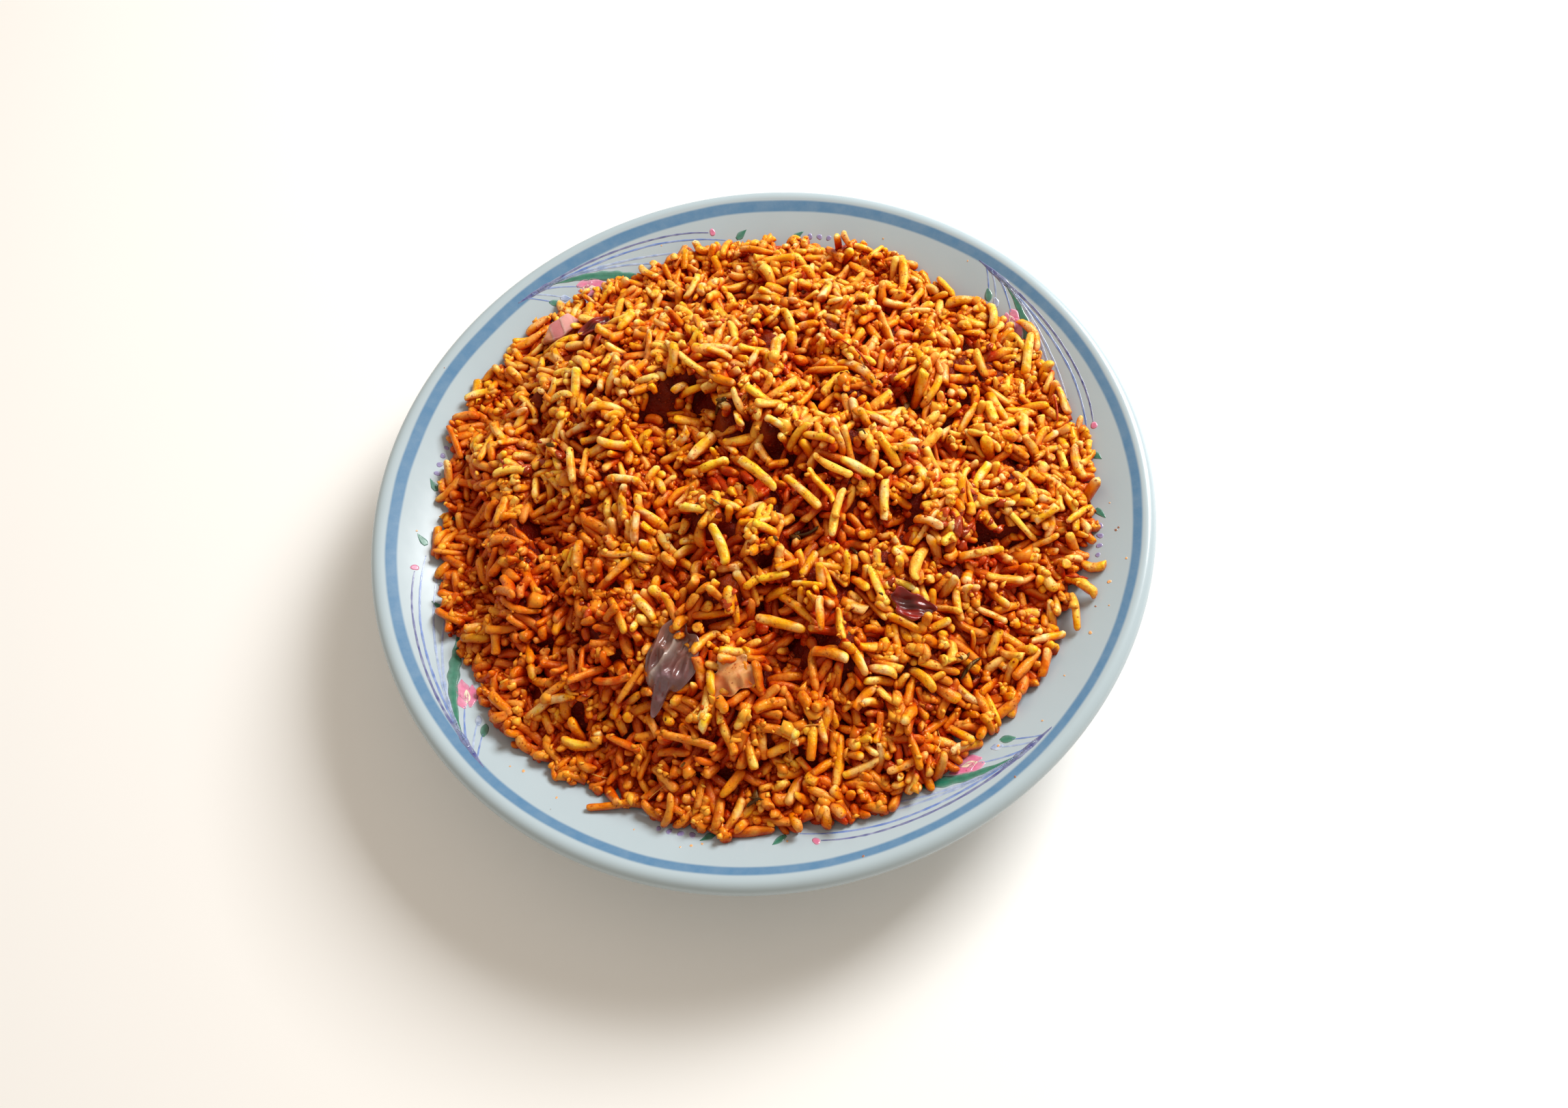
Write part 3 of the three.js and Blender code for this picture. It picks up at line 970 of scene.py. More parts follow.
class Ink(Enum):
    """Colours of the painted sprays, as screen values."""

    INDIGO = (56, 62, 132)
    BLUE = (76, 112, 184)
    GREY = (128, 152, 196)
    LEAF = (20, 112, 86)
    PINK = (214, 92, 140)
    CREAM = (232, 214, 178)
    VIOLET = (126, 112, 172)


@dataclass(frozen=True)
class Stroke:
    """One brush stroke, as turns in degrees from a spray's root, radii and half widths in millimetres."""

    ink: Ink
    turns: tuple[float, ...]
    radii: tuple[float, ...]
    halves: tuple[float, ...]
    wash: float = 0.25


SPRAY = (
    Stroke(Ink.INDIGO, (0, 2.5, 5, 7, 9), (98.6, 98.1, 97.7, 97.4, 97.1), (0.08, 0.34, 0.55, 0.45, 0.2)),
    Stroke(Ink.INDIGO, (4, 11, 18, 24, 30, 34, 37), (97.8, 97.4, 96.8, 96.2, 95.5, 94.7, 93.8),
           (0.3, 0.22, 0.2, 0.19, 0.18, 0.16, 0.12), 0.35),
    Stroke(Ink.BLUE, (5, 10, 15, 21, 27, 32, 36, 40), (97.6, 96.7, 95.9, 95.2, 94.4, 93.3, 92.3, 91.0),
           (0.26, 0.22, 0.22, 0.2, 0.19, 0.18, 0.16, 0.08), 0.4),
    Stroke(Ink.GREY, (8, 13, 18, 24, 29, 33.5, 37), (96.9, 95.5, 93.9, 92.2, 90.8, 89.4, 88.2),
           (0.2, 0.24, 0.22, 0.2, 0.18, 0.15, 0.08), 0.5),
    Stroke(Ink.GREY, (7, 12, 17, 22, 26, 28.5), (97.2, 95.7, 93.5, 91.3, 89.4, 88.0),
           (0.2, 0.3, 0.24, 0.2, 0.16, 0.08), 0.5),
    Stroke(Ink.LEAF, (5.4, 8, 11, 14.2, 17, 19.2, 21.5, 24.4),
           (97.8, 96.7, 95.0, 93.1, 91.1, 89.4, 87.9, 86.6),
           (0.05, 0.3, 0.52, 0.78, 1.02, 0.95, 0.6, 0.02), 0.06),
    Stroke(Ink.BLUE, (4.4, 6.6, 8.6, 10.6), (97.9, 96.3, 94.6, 92.8), (0.22, 0.18, 0.16, 0.1), 0.4),
    Stroke(Ink.GREY, (2.8, 4.4, 5.8, 7.0), (98.2, 96.3, 94.4, 92.6), (0.2, 0.18, 0.16, 0.12), 0.5),
    Stroke(Ink.GREY, (6.4, 7.2, 8.0), (93.0, 92.2, 91.4), (0.2, 0.75, 0.15), 0.7),
    Stroke(Ink.BLUE, (1.6, 2.8, 4.0, 4.8), (98.4, 96.6, 94.7, 93.4), (0.16, 0.15, 0.14, 0.1), 0.4),
    Stroke(Ink.LEAF, (4.3, 4.9, 5.6, 6.1), (93.8, 92.9, 92.0, 91.3), (0.15, 0.8, 0.75, 0.1), 0.15),
    Stroke(Ink.LEAF, (29.2, 29.9, 30.5, 31.2), (88.3, 89.0, 89.8, 90.7), (0.3, 0.62, 0.45, 0.04), 0.1),
    Stroke(Ink.LEAF, (42.0, 42.7, 43.3, 44.1), (91.0, 91.6, 92.3, 93.2), (0.3, 0.72, 0.55, 0.04), 0.1),
    Stroke(Ink.LEAF, (52.8, 53.5, 54.1, 54.9), (90.3, 90.9, 91.6, 92.5), (0.3, 0.68, 0.5, 0.04), 0.1),
)
BLOSSOM = (
    Stroke(Ink.PINK, (10.2, 11.2, 12.2, 13.2), (93.1, 92.9, 92.4, 92.0), (0.2, 0.85, 0.8, 0.1), 0.35),
    Stroke(Ink.PINK, (11.4, 12.8, 14.2, 15.4), (91.8, 91.4, 90.8, 90.2), (0.15, 1.15, 0.95, 0.1), 0.3),
    Stroke(Ink.PINK, (10.0, 11.2, 12.6, 13.8), (91.9, 90.6, 89.5, 88.6), (0.2, 1.0, 0.9, 0.1), 0.35),
    Stroke(Ink.CREAM, (10.9, 11.7, 12.5, 13.3), (91.9, 91.4, 90.9, 90.4), (0.1, 0.6, 0.55, 0.1), 0.3),
)
BUDS = (
    (Ink.PINK, 37.7, 93.7, 0.95),
    (Ink.VIOLET, 56.2, 91.2, 0.8),
    (Ink.VIOLET, 58.0, 91.3, 0.8),
    (Ink.VIOLET, 59.8, 91.3, 0.75),
    (Ink.VIOLET, 61.5, 91.2, 0.65),
)


@dataclass
class PaintedSprays:
    """Four hand-painted sprays, as thin films that lie on the glaze."""

    dish: DishForm
    roots: tuple[float, ...] = (123.9, 36.3, 304.9, 215.6)
    film: float = 0.018
    sunk: float = 0.12
    spacing: float = 0.35
    degree_length: float = 1.65
    broader: float = 1.4
    thin_paint: Screen = (206, 216, 224)
    across: tuple[float, ...] = (-1.0, -0.6, 0.0, 0.6, 1.0)

    def stroke_mesh(self, stroke: Stroke, root: float, rng: np.random.Generator) -> Arrays:
        """Builds one stroke as a closed film.

        Args:
            stroke: The stroke.
            root: Angle of the spray's root in degrees.
            rng: Source of the hand's unevenness.

        Returns:
            Vertices, triangles and tints.
        """
        run = (stroke.turns[-1] - stroke.turns[0]) * self.degree_length
        span = math.hypot(run, stroke.radii[-1] - stroke.radii[0])
        count = max(9, int(span / self.spacing))
        share = np.linspace(0, 1, count)
        turn, radius, half = (
            self.eased(share, values) for values in (stroke.turns, stroke.radii, stroke.halves))
        half = self.broader * np.maximum(0.03, half)
        half = half * (1 + 0.12 * np.sin(share * span * 1.3 + rng.uniform(0, 6)))
        line = polar(radius, np.radians(root - turn))
        heading = unit(np.gradient(line, axis=0))
        side = np.stack((-heading[:, 1], heading[:, 0]), -1)
        across = np.array(self.across)
        spots = line[:, None] + side[:, None] * (half[:, None] * across)[..., None]
        x, y = spots.reshape(-1, 2).T
        top, low = (
            self.dish.on_wall(np.arctan2(y, x), np.hypot(x, y), lift).reshape(count, -1, 3)
            for lift in (self.film, -self.sunk))
        loop = np.concatenate((top, low[:, ::-1]), axis=1)
        points = loop.reshape(-1, 3)
        rim = np.tile(np.concatenate((np.abs(across), np.abs(across[::-1]))) ** 3, (count, 1))
        load = stroke.wash * (0.5 + 0.5 * lattice_noise(points, 1.4, 9).reshape(rim.shape))
        fade = np.clip(load + 0.22 * rim, 0, 0.9).ravel()
        tint = blend_rows(fade, stroke.ink.value, self.thin_paint)
        return points, capped_triangles(count, loop.shape[1]), tint

    @staticmethod
    def eased(share: Array, values: tuple[float, ...]) -> Array:
        """Reads a smooth line through values at evenly spaced knots.

        Args:
            share: Places along the line, from 0 to 1.
            values: The values at the knots.

        Returns:
            The value at each place.
        """
        fine = np.interp(share, np.linspace(0, 1, len(values)), values)
        width = max(1, len(share) // (3 * len(values)))
        kernel = np.ones(2 * width + 1) / (2 * width + 1)
        before = 2 * fine[0] - fine[width:0:-1]
        after = 2 * fine[-1] - fine[-2:-width - 2:-1]
        return np.convolve(np.concatenate((before, fine, after)), kernel, mode="valid")

    def bud_mesh(self, color: Ink, turn: float, radius: float, size: float, root: float) -> Arrays:
        """Builds one round dab of paint."""
        points, triangles, share = self.dish.film_disc(root - turn, radius, size, self.film, self.sunk)
        return points, triangles, blend_rows(0.1 + 0.25 * share**3, color.value, self.thin_paint)

    def build(self) -> None:
        """Makes all the strokes as one piece."""
        rng = np.random.default_rng(SEED)
        parts = []
        for root in self.roots:
            parts += [self.stroke_mesh(stroke, root, rng) for stroke in (*SPRAY, *BLOSSOM)]
            parts += [self.bud_mesh(*bud, root) for bud in BUDS]
        dress("painted_sprays", joined(parts), PaintFinish().material(), "dish_glaze")


# Rice

class GrainKind(Enum):
    """Kinds of grain, each one piece of the scene, with its screen colour."""

    PALE = (255, 210, 84)
    GOLDEN = (255, 203, 48)
    ORANGE = (255, 194, 28)
    AMBER = (253, 181, 18)
    RUSTY = (248, 162, 12)
    BURIED = (240, 140, 12)


LEAD_GRAINS = (
    (2, -5, -57, 14), (21, -7, -47, 12), (27, -9, -45, 10), (17, -13, -69, 12), (19, -21, -116, 14),
    (30, -18, -90, 12), (-8, 1, 6, 8), (12, -13, -60, 13), (-1, -44, -30, 13), (9, -45, -99, 9),
    (13, -48, -94, 9), (36, -36, -117, 12), (0, -33, -3, 8), (4, -31, 6, 7), (-11, -22, -82, 12),
    (29, -49, -50, 11), (-40, -48, -137, 12), (-22, -57, -112, 11), (-19, -66, -75, 11), (-15, -69, -90, 13),
    (-45, -60, -38, 10), (-29, -65, -28, 14), (-36, -71, -66, 9), (-56, -57, -22, 10), (-51, -42, 20, 12),
    (-21, -76, -141, 9), (52, -35, -3, 12), (50, -50, -43, 10), (81, -42, -29, 7), (76, -47, -48, 10),
    (67, -43, -63, 8), (56, -42, -16, 10), (42, -46, 61, 11), (72, -52, -90, 11), (86, -13, -107, 11),
    (80, -28, 39, 11), (56, 60, -98, 12), (86, 31, -84, 12), (-51, -74, 0, 13), (-25, -88, -10, 3.2),
    (-19.5, -53, 78, 8), (-9.5, -55, 96, 8), (-15, -59.5, 20, 7), (-14, -49, -12, 8),
)


@dataclass
class GrainPile:
    """Loose grains, settled on the heap's core and on the dish by pushing apart all that touch.

    The lead grains are the longest that show: x, y, heading in degrees and length. Each grain is a row of
    balls while it settles.
    """

    heap: HeapForm
    dish: DishForm
    count: int = 4480
    layer: float = 6.4
    girth: float = 2.66
    pressed: float = 0.71
    usual_length: float = 9.2
    length_spread: float = 1.9
    shortest: float = 5.0
    longest: float = 13.5
    girth_spread: float = 0.11
    girth_range: tuple[float, float] = (0.78, 1.25)
    bow_spread: tuple[float, float] = (0.02, 0.09)
    broken_share: float = 0.36
    broken_lengths: tuple[float, float] = (2.6, 6.2)
    aligned_share: float = 0.5
    flow_size: float = 16.0
    flow_turn: float = 4.5
    flow_spread: float = 0.35
    steep_share: float = 0.3
    steep_tilt: tuple[float, float] = (0.95, 0.3)
    lying_tilt: tuple[float, float] = (0.0, 0.42)
    clearance: float = 1.2
    block_radius: float = 0.9
    beads: int = 7
    steps: int = 60
    still_steps: int = 25
    drop: float = 0.045
    edge_reach: float = 1.6
    edge_share: float = 0.16
    over_edge: float = 3.6
    over_skin: float = 2.0
    highest: float = 56.3
    centre: Array = field(init=False)
    axis: Array = field(init=False)
    side: Array = field(init=False)
    half: Array = field(init=False)
    radius: Array = field(init=False)
    bow: Array = field(init=False)

    def scatter(self, rng: np.random.Generator) -> None:
        """Draws every grain's size and first place, more of them where the heap's skin stands higher.

        Args:
            rng: Source of the places and sizes.
        """
        tries = 6 * self.count
        angle = rng.uniform(0, 2 * math.pi, tries)
        reach = self.heap.edge_radius(angle) + self.edge_reach
        distance = reach * np.sqrt(rng.uniform(0, 1, tries))
        edge = rng.uniform(0, 1, tries) < self.edge_share
        distance[edge] = reach[edge] - rng.uniform(0.5, 6.0, edge.sum())
        x, y = polar(distance, angle).T
        low = self.floor_level(x, y, self.clearance)
        top = np.maximum(low + 0.9, self.heap.clod_level(x, y) - 0.6)
        chance = (top - low + 7.2) / 15.6
        taken = np.flatnonzero(rng.uniform(0, 1, tries) < chance)[: self.count - len(LEAD_GRAINS)]
        lead_x, lead_y, lead_heading, lead_length = np.array(LEAD_GRAINS).T
        x, y = np.concatenate((x[taken], lead_x)), np.concatenate((y[taken], lead_y))
        self.count = count = len(x)
        leading = np.arange(count) >= len(taken)
        length = rng.normal(self.usual_length, self.length_spread, count)
        length = np.clip(length, self.shortest, self.longest)
        broken = rng.uniform(0, 1, count) < self.broken_share
        length[broken] = rng.uniform(*self.broken_lengths, broken.sum())
        length[leading] = lead_length
        self.radius = self.girth / 2 * np.clip(rng.normal(1.0, self.girth_spread, count), *self.girth_range)
        self.half = np.maximum(length / 2, self.radius * 1.05)
        self.bow = np.abs(rng.normal(*self.bow_spread, count)) * length
        height = low[taken] + (top[taken] - low[taken]) * rng.uniform(0, 1, len(taken))
        lead_floor = self.floor_level(lead_x, lead_y, self.clearance)
        lead_height = np.maximum(self.heap.level(lead_x, lead_y) + self.clearance, lead_floor)
        self.centre = np.stack((x, y, np.concatenate((height, lead_height))), -1)
        steep = rng.uniform(0, 1, count) < self.steep_share
        tilt = np.where(steep, rng.normal(*self.steep_tilt, count), rng.normal(*self.lying_tilt, count))
        heading = rng.uniform(0, 2 * math.pi, count)
        aligned = rng.uniform(0, 1, count) < self.aligned_share
        flow = self.flow_turn * lattice_noise(on_plane(x, y), self.flow_size, 12)
        heading[aligned] = flow[aligned] + rng.normal(0, self.flow_spread, aligned.sum())
        tilt[leading] = 0.0
        heading[leading] = np.radians(lead_heading)
        flat = polar(1, heading) * np.cos(tilt)[:, None]
        self.axis = unit(np.concatenate((flat, np.sin(tilt)[:, None]), axis=1))
        self.side = unit(np.cross(self.axis, rng.normal(size=(count, 3))))

    def floor_level(self, x: Array, y: Array, lift: float) -> Array:
        """Finds the level that a grain's middle can't go below, over the core or over the dish past it.

        Args:
            x: The places' x.
            y: The places' y.
            lift: How far a grain's middle stays off what it lies on.

        Returns:
            The levels.
        """
        core = self.heap.mass_level(x, y) - self.layer
        wall = self.dish.rest_level(np.hypot(x, y), lift)
        return np.maximum(core + lift, wall)

    def bead_places(self) -> Array:
        """Places the balls that stand for each grain.

        Returns:
            Their middles as grain by ball by axis.
        """
        share = np.linspace(-1, 1, self.beads)
        run = self.axis[:, None] * (share[:, None] * (self.half - self.radius)[:, None, None])
        bend = self.side[:, None] * ((0.67 - share**2)[:, None] * self.bow[:, None, None])
        return self.centre[:, None] + run + bend

    @staticmethod
    def close_pairs(points: Array, cell: float) -> Arrays:
        """Finds pairs of points in the same or in touching cells.

        Args:
            points: Places.
            cell: Cell size.

        Returns:
            The numbers of the first and of the second point of each pair.
        """
        cells = np.floor(points / cell).astype(np.int64)
        cells -= cells.min(0) - 1
        wide = cells.max(0) + 2
        key = (cells[:, 0] * wide[1] + cells[:, 1]) * wide[2] + cells[:, 2]
        order = np.argsort(key, kind="stable")
        ranked = key[order]
        firsts, seconds = [], []
        steps = [(i, j, k) for i in (-1, 0, 1) for j in (-1, 0, 1) for k in (-1, 0, 1)]
        for step in steps[13:]:
            shift = (step[0] * wide[1] + step[1]) * wide[2] + step[2]
            low = np.searchsorted(ranked, ranked + shift, "left")
            high = np.searchsorted(ranked, ranked + shift, "right")
            counts = high - low
            first = np.repeat(np.arange(len(points)), counts)
            inside = np.arange(len(first)) - np.repeat(np.cumsum(counts) - counts, counts)
            second = np.repeat(low, counts) + inside
            if step == (0, 0, 0):
                once = first < second
                first, second = first[once], second[once]
            firsts.append(order[first])
            seconds.append(order[second])
        return np.concatenate(firsts), np.concatenate(seconds)

    def settle(self, blocks: Array) -> None:
        """Pushes touching grains apart and lets them sink until they lie on each other.

        Args:
            blocks: Fixed balls that grains keep off, such as those that stand for a piece of onion.
        """
        count, beads = self.count, self.beads
        taper = 1 - 0.16 * np.abs(np.linspace(-1, 1, beads)) ** 3
        sizes = (self.pressed * self.radius[:, None] * taper).ravel()
        sizes = np.concatenate((sizes, np.full(len(blocks), self.block_radius)))
        owner = np.concatenate((np.repeat(np.arange(count), beads), np.full(len(blocks), count)))
        firsts = seconds = np.empty(0, int)
        for step in range(self.steps):
            places = np.concatenate((self.bead_places().reshape(-1, 3), blocks))
            if step % 4 == 0:
                firsts, seconds = self.close_pairs(places, self.girth * 1.25)
                apart = owner[firsts] != owner[seconds]
                firsts, seconds = firsts[apart], seconds[apart]
            gap = places[firsts] - places[seconds]
            distance = np.linalg.norm(gap, axis=1)
            overlap = sizes[firsts] + sizes[seconds] - distance
            touching = overlap > 0
            first, second = firsts[touching], seconds[touching]
            push = gap[touching] / np.maximum(distance[touching], 1e-6)[:, None] * overlap[touching][:, None]
            share = np.where(owner[first] == count, 0.0, np.where(owner[second] == count, 1.0, 0.5))[:, None]
            sunk, lift = self.lifted(places[: count * beads])
            hits = np.concatenate((first, second, sunk))
            moves = np.concatenate((push * share, -push * (1 - share), lift))
            kept = hits < count * beads
            self.shift(hits[kept], moves[kept], places)
            if step < self.steps - self.still_steps:
                self.centre[:, 2] -= self.drop

    def lifted(self, balls: Array) -> Arrays:
        """Finds balls that have sunk into the core or the dish.

        Args:
            balls: Middles of the grains' balls.

        Returns:
            The sunk balls' numbers and the push that lifts each out, square to the dish.
        """
        x, y, z = balls.T
        out = np.hypot(x, y)
        rest = self.floor_level(x, y, self.clearance + 0.05)
        sunk = np.flatnonzero(z < rest)
        slope = self.dish.inside(out[sunk])[1]
        tilt = -slope / out[sunk]
        lean = unit(np.stack((tilt * x[sunk], tilt * y[sunk], np.ones(len(sunk))), -1))
        depth = (rest[sunk] - z[sunk]) * lean[:, 2]
        return sunk, lean * depth[:, None]

    def shift(self, hits: Array, moves: Array, places: Array) -> None:
        """Moves and turns each grain by the pushes on its balls.

        Args:
            hits: Number of the ball that each push acts on.
            moves: The pushes.
            places: Middles of all balls.
        """
        grain = hits // self.beads
        arm = places[hits] - self.centre[grain]
        twist = np.cross(arm, moves)
        number = np.bincount(grain, minlength=self.count)
        weight = np.bincount(grain, (arm**2).sum(1), minlength=self.count) + 2.0
        slide = np.stack([np.bincount(grain, moves[:, i], minlength=self.count) for i in range(3)], -1)
        turn = np.stack([np.bincount(grain, twist[:, i], minlength=self.count) for i in range(3)], -1)
        self.centre += 1.1 * slide / np.maximum(1, number)[:, None]
        spin = np.clip(0.9 * turn / weight[:, None], -0.2, 0.2)
        self.axis = unit(self.axis + np.cross(spin, self.axis))
        self.side = self.side + np.cross(spin, self.side)
        self.side = unit(self.side - self.axis * (self.side * self.axis).sum(1, keepdims=True))

    def clear(self, pieces: tuple["CutForm", ...]) -> None:
        """Takes away grains that lie on a cut piece, stand too high, bridge a crevice or have strayed.

        Args:
            pieces: The cut pieces that lie on the heap.
        """
        places = self.bead_places()
        x, y, z = places[..., 0], places[..., 1], places[..., 2]
        skin = self.heap.clod_level(x.ravel(), y.ravel()).reshape(x.shape)
        past = np.hypot(x, y) - self.heap.edge_radius(np.arctan2(y, x))
        loose = (past > self.over_edge) | ((z > skin + self.over_skin) & (past < -4))
        loose[-len(LEAD_GRAINS):] = False
        bad = loose | (z > self.highest - self.clearance)
        for piece in pieces:
            bad |= (piece.share_at(x, y) < piece.bare) & (z > piece.underside(self.heap, x, y) - 0.4)
        kept = ~bad.any(axis=1)
        for name in ("centre", "axis", "side", "half", "radius", "bow"):
            setattr(self, name, getattr(self, name)[kept])
        self.count = len(self.centre)

    def open_balls(self) -> Array:
        """Counts each grain's balls that show from above or a slant, by a coarse depth picture each way.

        Returns:
            The count for each grain, summed over nine ways of looking.
        """
        places = self.bead_places().reshape(-1, 3)
        shown = np.zeros(self.count, int)
        cell = 0.6
        disc = [(i, j) for i in range(-2, 3) for j in range(-2, 3) if math.hypot(i, j) < 1.9]
        for heading in (None, *range(0, 360, 45)):
            spots = places
            if heading is not None:
                spin = Matrix.Rotation(math.radians(heading), 3, "Z")
                spots = places @ np.array(Matrix.Rotation(math.radians(45), 3, "X") @ spin).T
            column = np.floor((spots[:, :2] - spots[:, :2].min(0)) / cell).astype(int) + 3
            wide = column.max(0) + 4
            top = np.full(wide.prod(), -1e9)
            for step in disc:
                np.maximum.at(top, (column[:, 0] + step[0]) * wide[1] + column[:, 1] + step[1], spots[:, 2])
            open_ball = spots[:, 2] > top[column[:, 0] * wide[1] + column[:, 1]] - 0.45
            shown += np.bincount(np.flatnonzero(open_ball) // self.beads, minlength=self.count)
        return shown


@dataclass(frozen=True)
class GrainShape:
    """How finely a kind of grain is meshed."""

    rings: int
    sides: int


@dataclass
class PileTop:
    """Height of the uppermost grains, or of the glaze, on a net of square cells."""

    pile: GrainPile
    cell: float = 0.5
    reach: float = 112.0
    headings: int = 6
    distances: tuple[float, ...] = (1.0, 2.0, 3.5, 6.0, 10.0)
    # How far red, green and blue fall in the painted shade, and how steeply: green and blue fall furthest,
    # so the shade turns red-brown.
    deepest: tuple[float, ...] = (0.5, 0.05, 0.01)
    powers: tuple[float, ...] = (1.0, 1.45, 3.0)
    heights: Array = field(init=False)

    def __post_init__(self) -> None:
        """Marks the glaze and every ball of every grain on the net."""
        grid = np.arange(int(2 * self.reach / self.cell) + 1) * self.cell - self.reach
        across, along = np.meshgrid(grid, grid, indexing="ij")
        self.heights = self.pile.floor_level(across.ravel(), along.ravel(), 0.0).reshape(across.shape)
        places = self.pile.bead_places().reshape(-1, 3)
        radius = np.repeat(self.pile.radius, self.pile.beads)
        cells = np.round((places[:, :2] + self.reach) / self.cell).astype(int)
        for across in range(-2, 3):
            for along in range(-2, 3):
                away = self.cell * math.hypot(across, along)
                lift = np.sqrt(np.maximum(0.0, radius**2 - away**2))
                near = radius > away
                spot = (cells[near, 0] + across, cells[near, 1] + along)
                np.maximum.at(self.heights, spot, places[near, 2] + lift[near])

    def level(self, x: Array, y: Array) -> Array:
        """Reads the height of the uppermost thing.

        Args:
            x: The places' x.
            y: The places' y.

        Returns:
            The heights.
        """
        column = np.round((x + self.reach) / self.cell).astype(int)
        row = np.round((y + self.reach) / self.cell).astype(int)
        return self.heights[column, row]

    def openness(self, points: Array) -> Array:
        """Finds how freely points lie between the grains round them.

        Args:
            points: The points, one row each.

        Returns:
            Share of the sky that each point sees, roughly, from 0 to 1.
        """
        x, y, z = points.T
        total = np.zeros(len(points))
        for heading in full_turn(self.headings) + 0.3:
            horizon = np.zeros(len(points))
            for away in self.distances:
                rise = self.level(x + away * math.cos(heading), y + away * math.sin(heading)) - z
                horizon = np.maximum(horizon, rise / np.hypot(away, rise))
            total += (1 - horizon) / self.headings
        covered = smooth_step((self.level(x, y) - z - 1.0) / 2.6)
        return total * (1 - 0.75 * covered)

    def sauce_and_painted_shade(self, points: Array, color: Array, sauce: Array) -> Array:
        """Paints shade: turns colours through amber to deep brown-red where the grains round a point hide
        the sky, and where sauce lies.

        Args:
            points: The points, one row each.
            color: Their linear colours.
            sauce: How much sauce lies on each, from 0 to 1; for the grains it also holds painted shade on
                the side away from the window lamp.

        Returns:
            The new colours.
        """
        # Painted shade: the less sky a point sees past the grains round it, the darker and redder its
        # colour.
        free = smooth_step((self.openness(points) - 0.12) / 0.72) * (1 - 0.7 * np.clip(sauce, 0, 1))
        deepest, powers = np.array(self.deepest), np.array(self.powers)
        return color * (deepest + (1 - deepest) * free[:, None] ** powers)


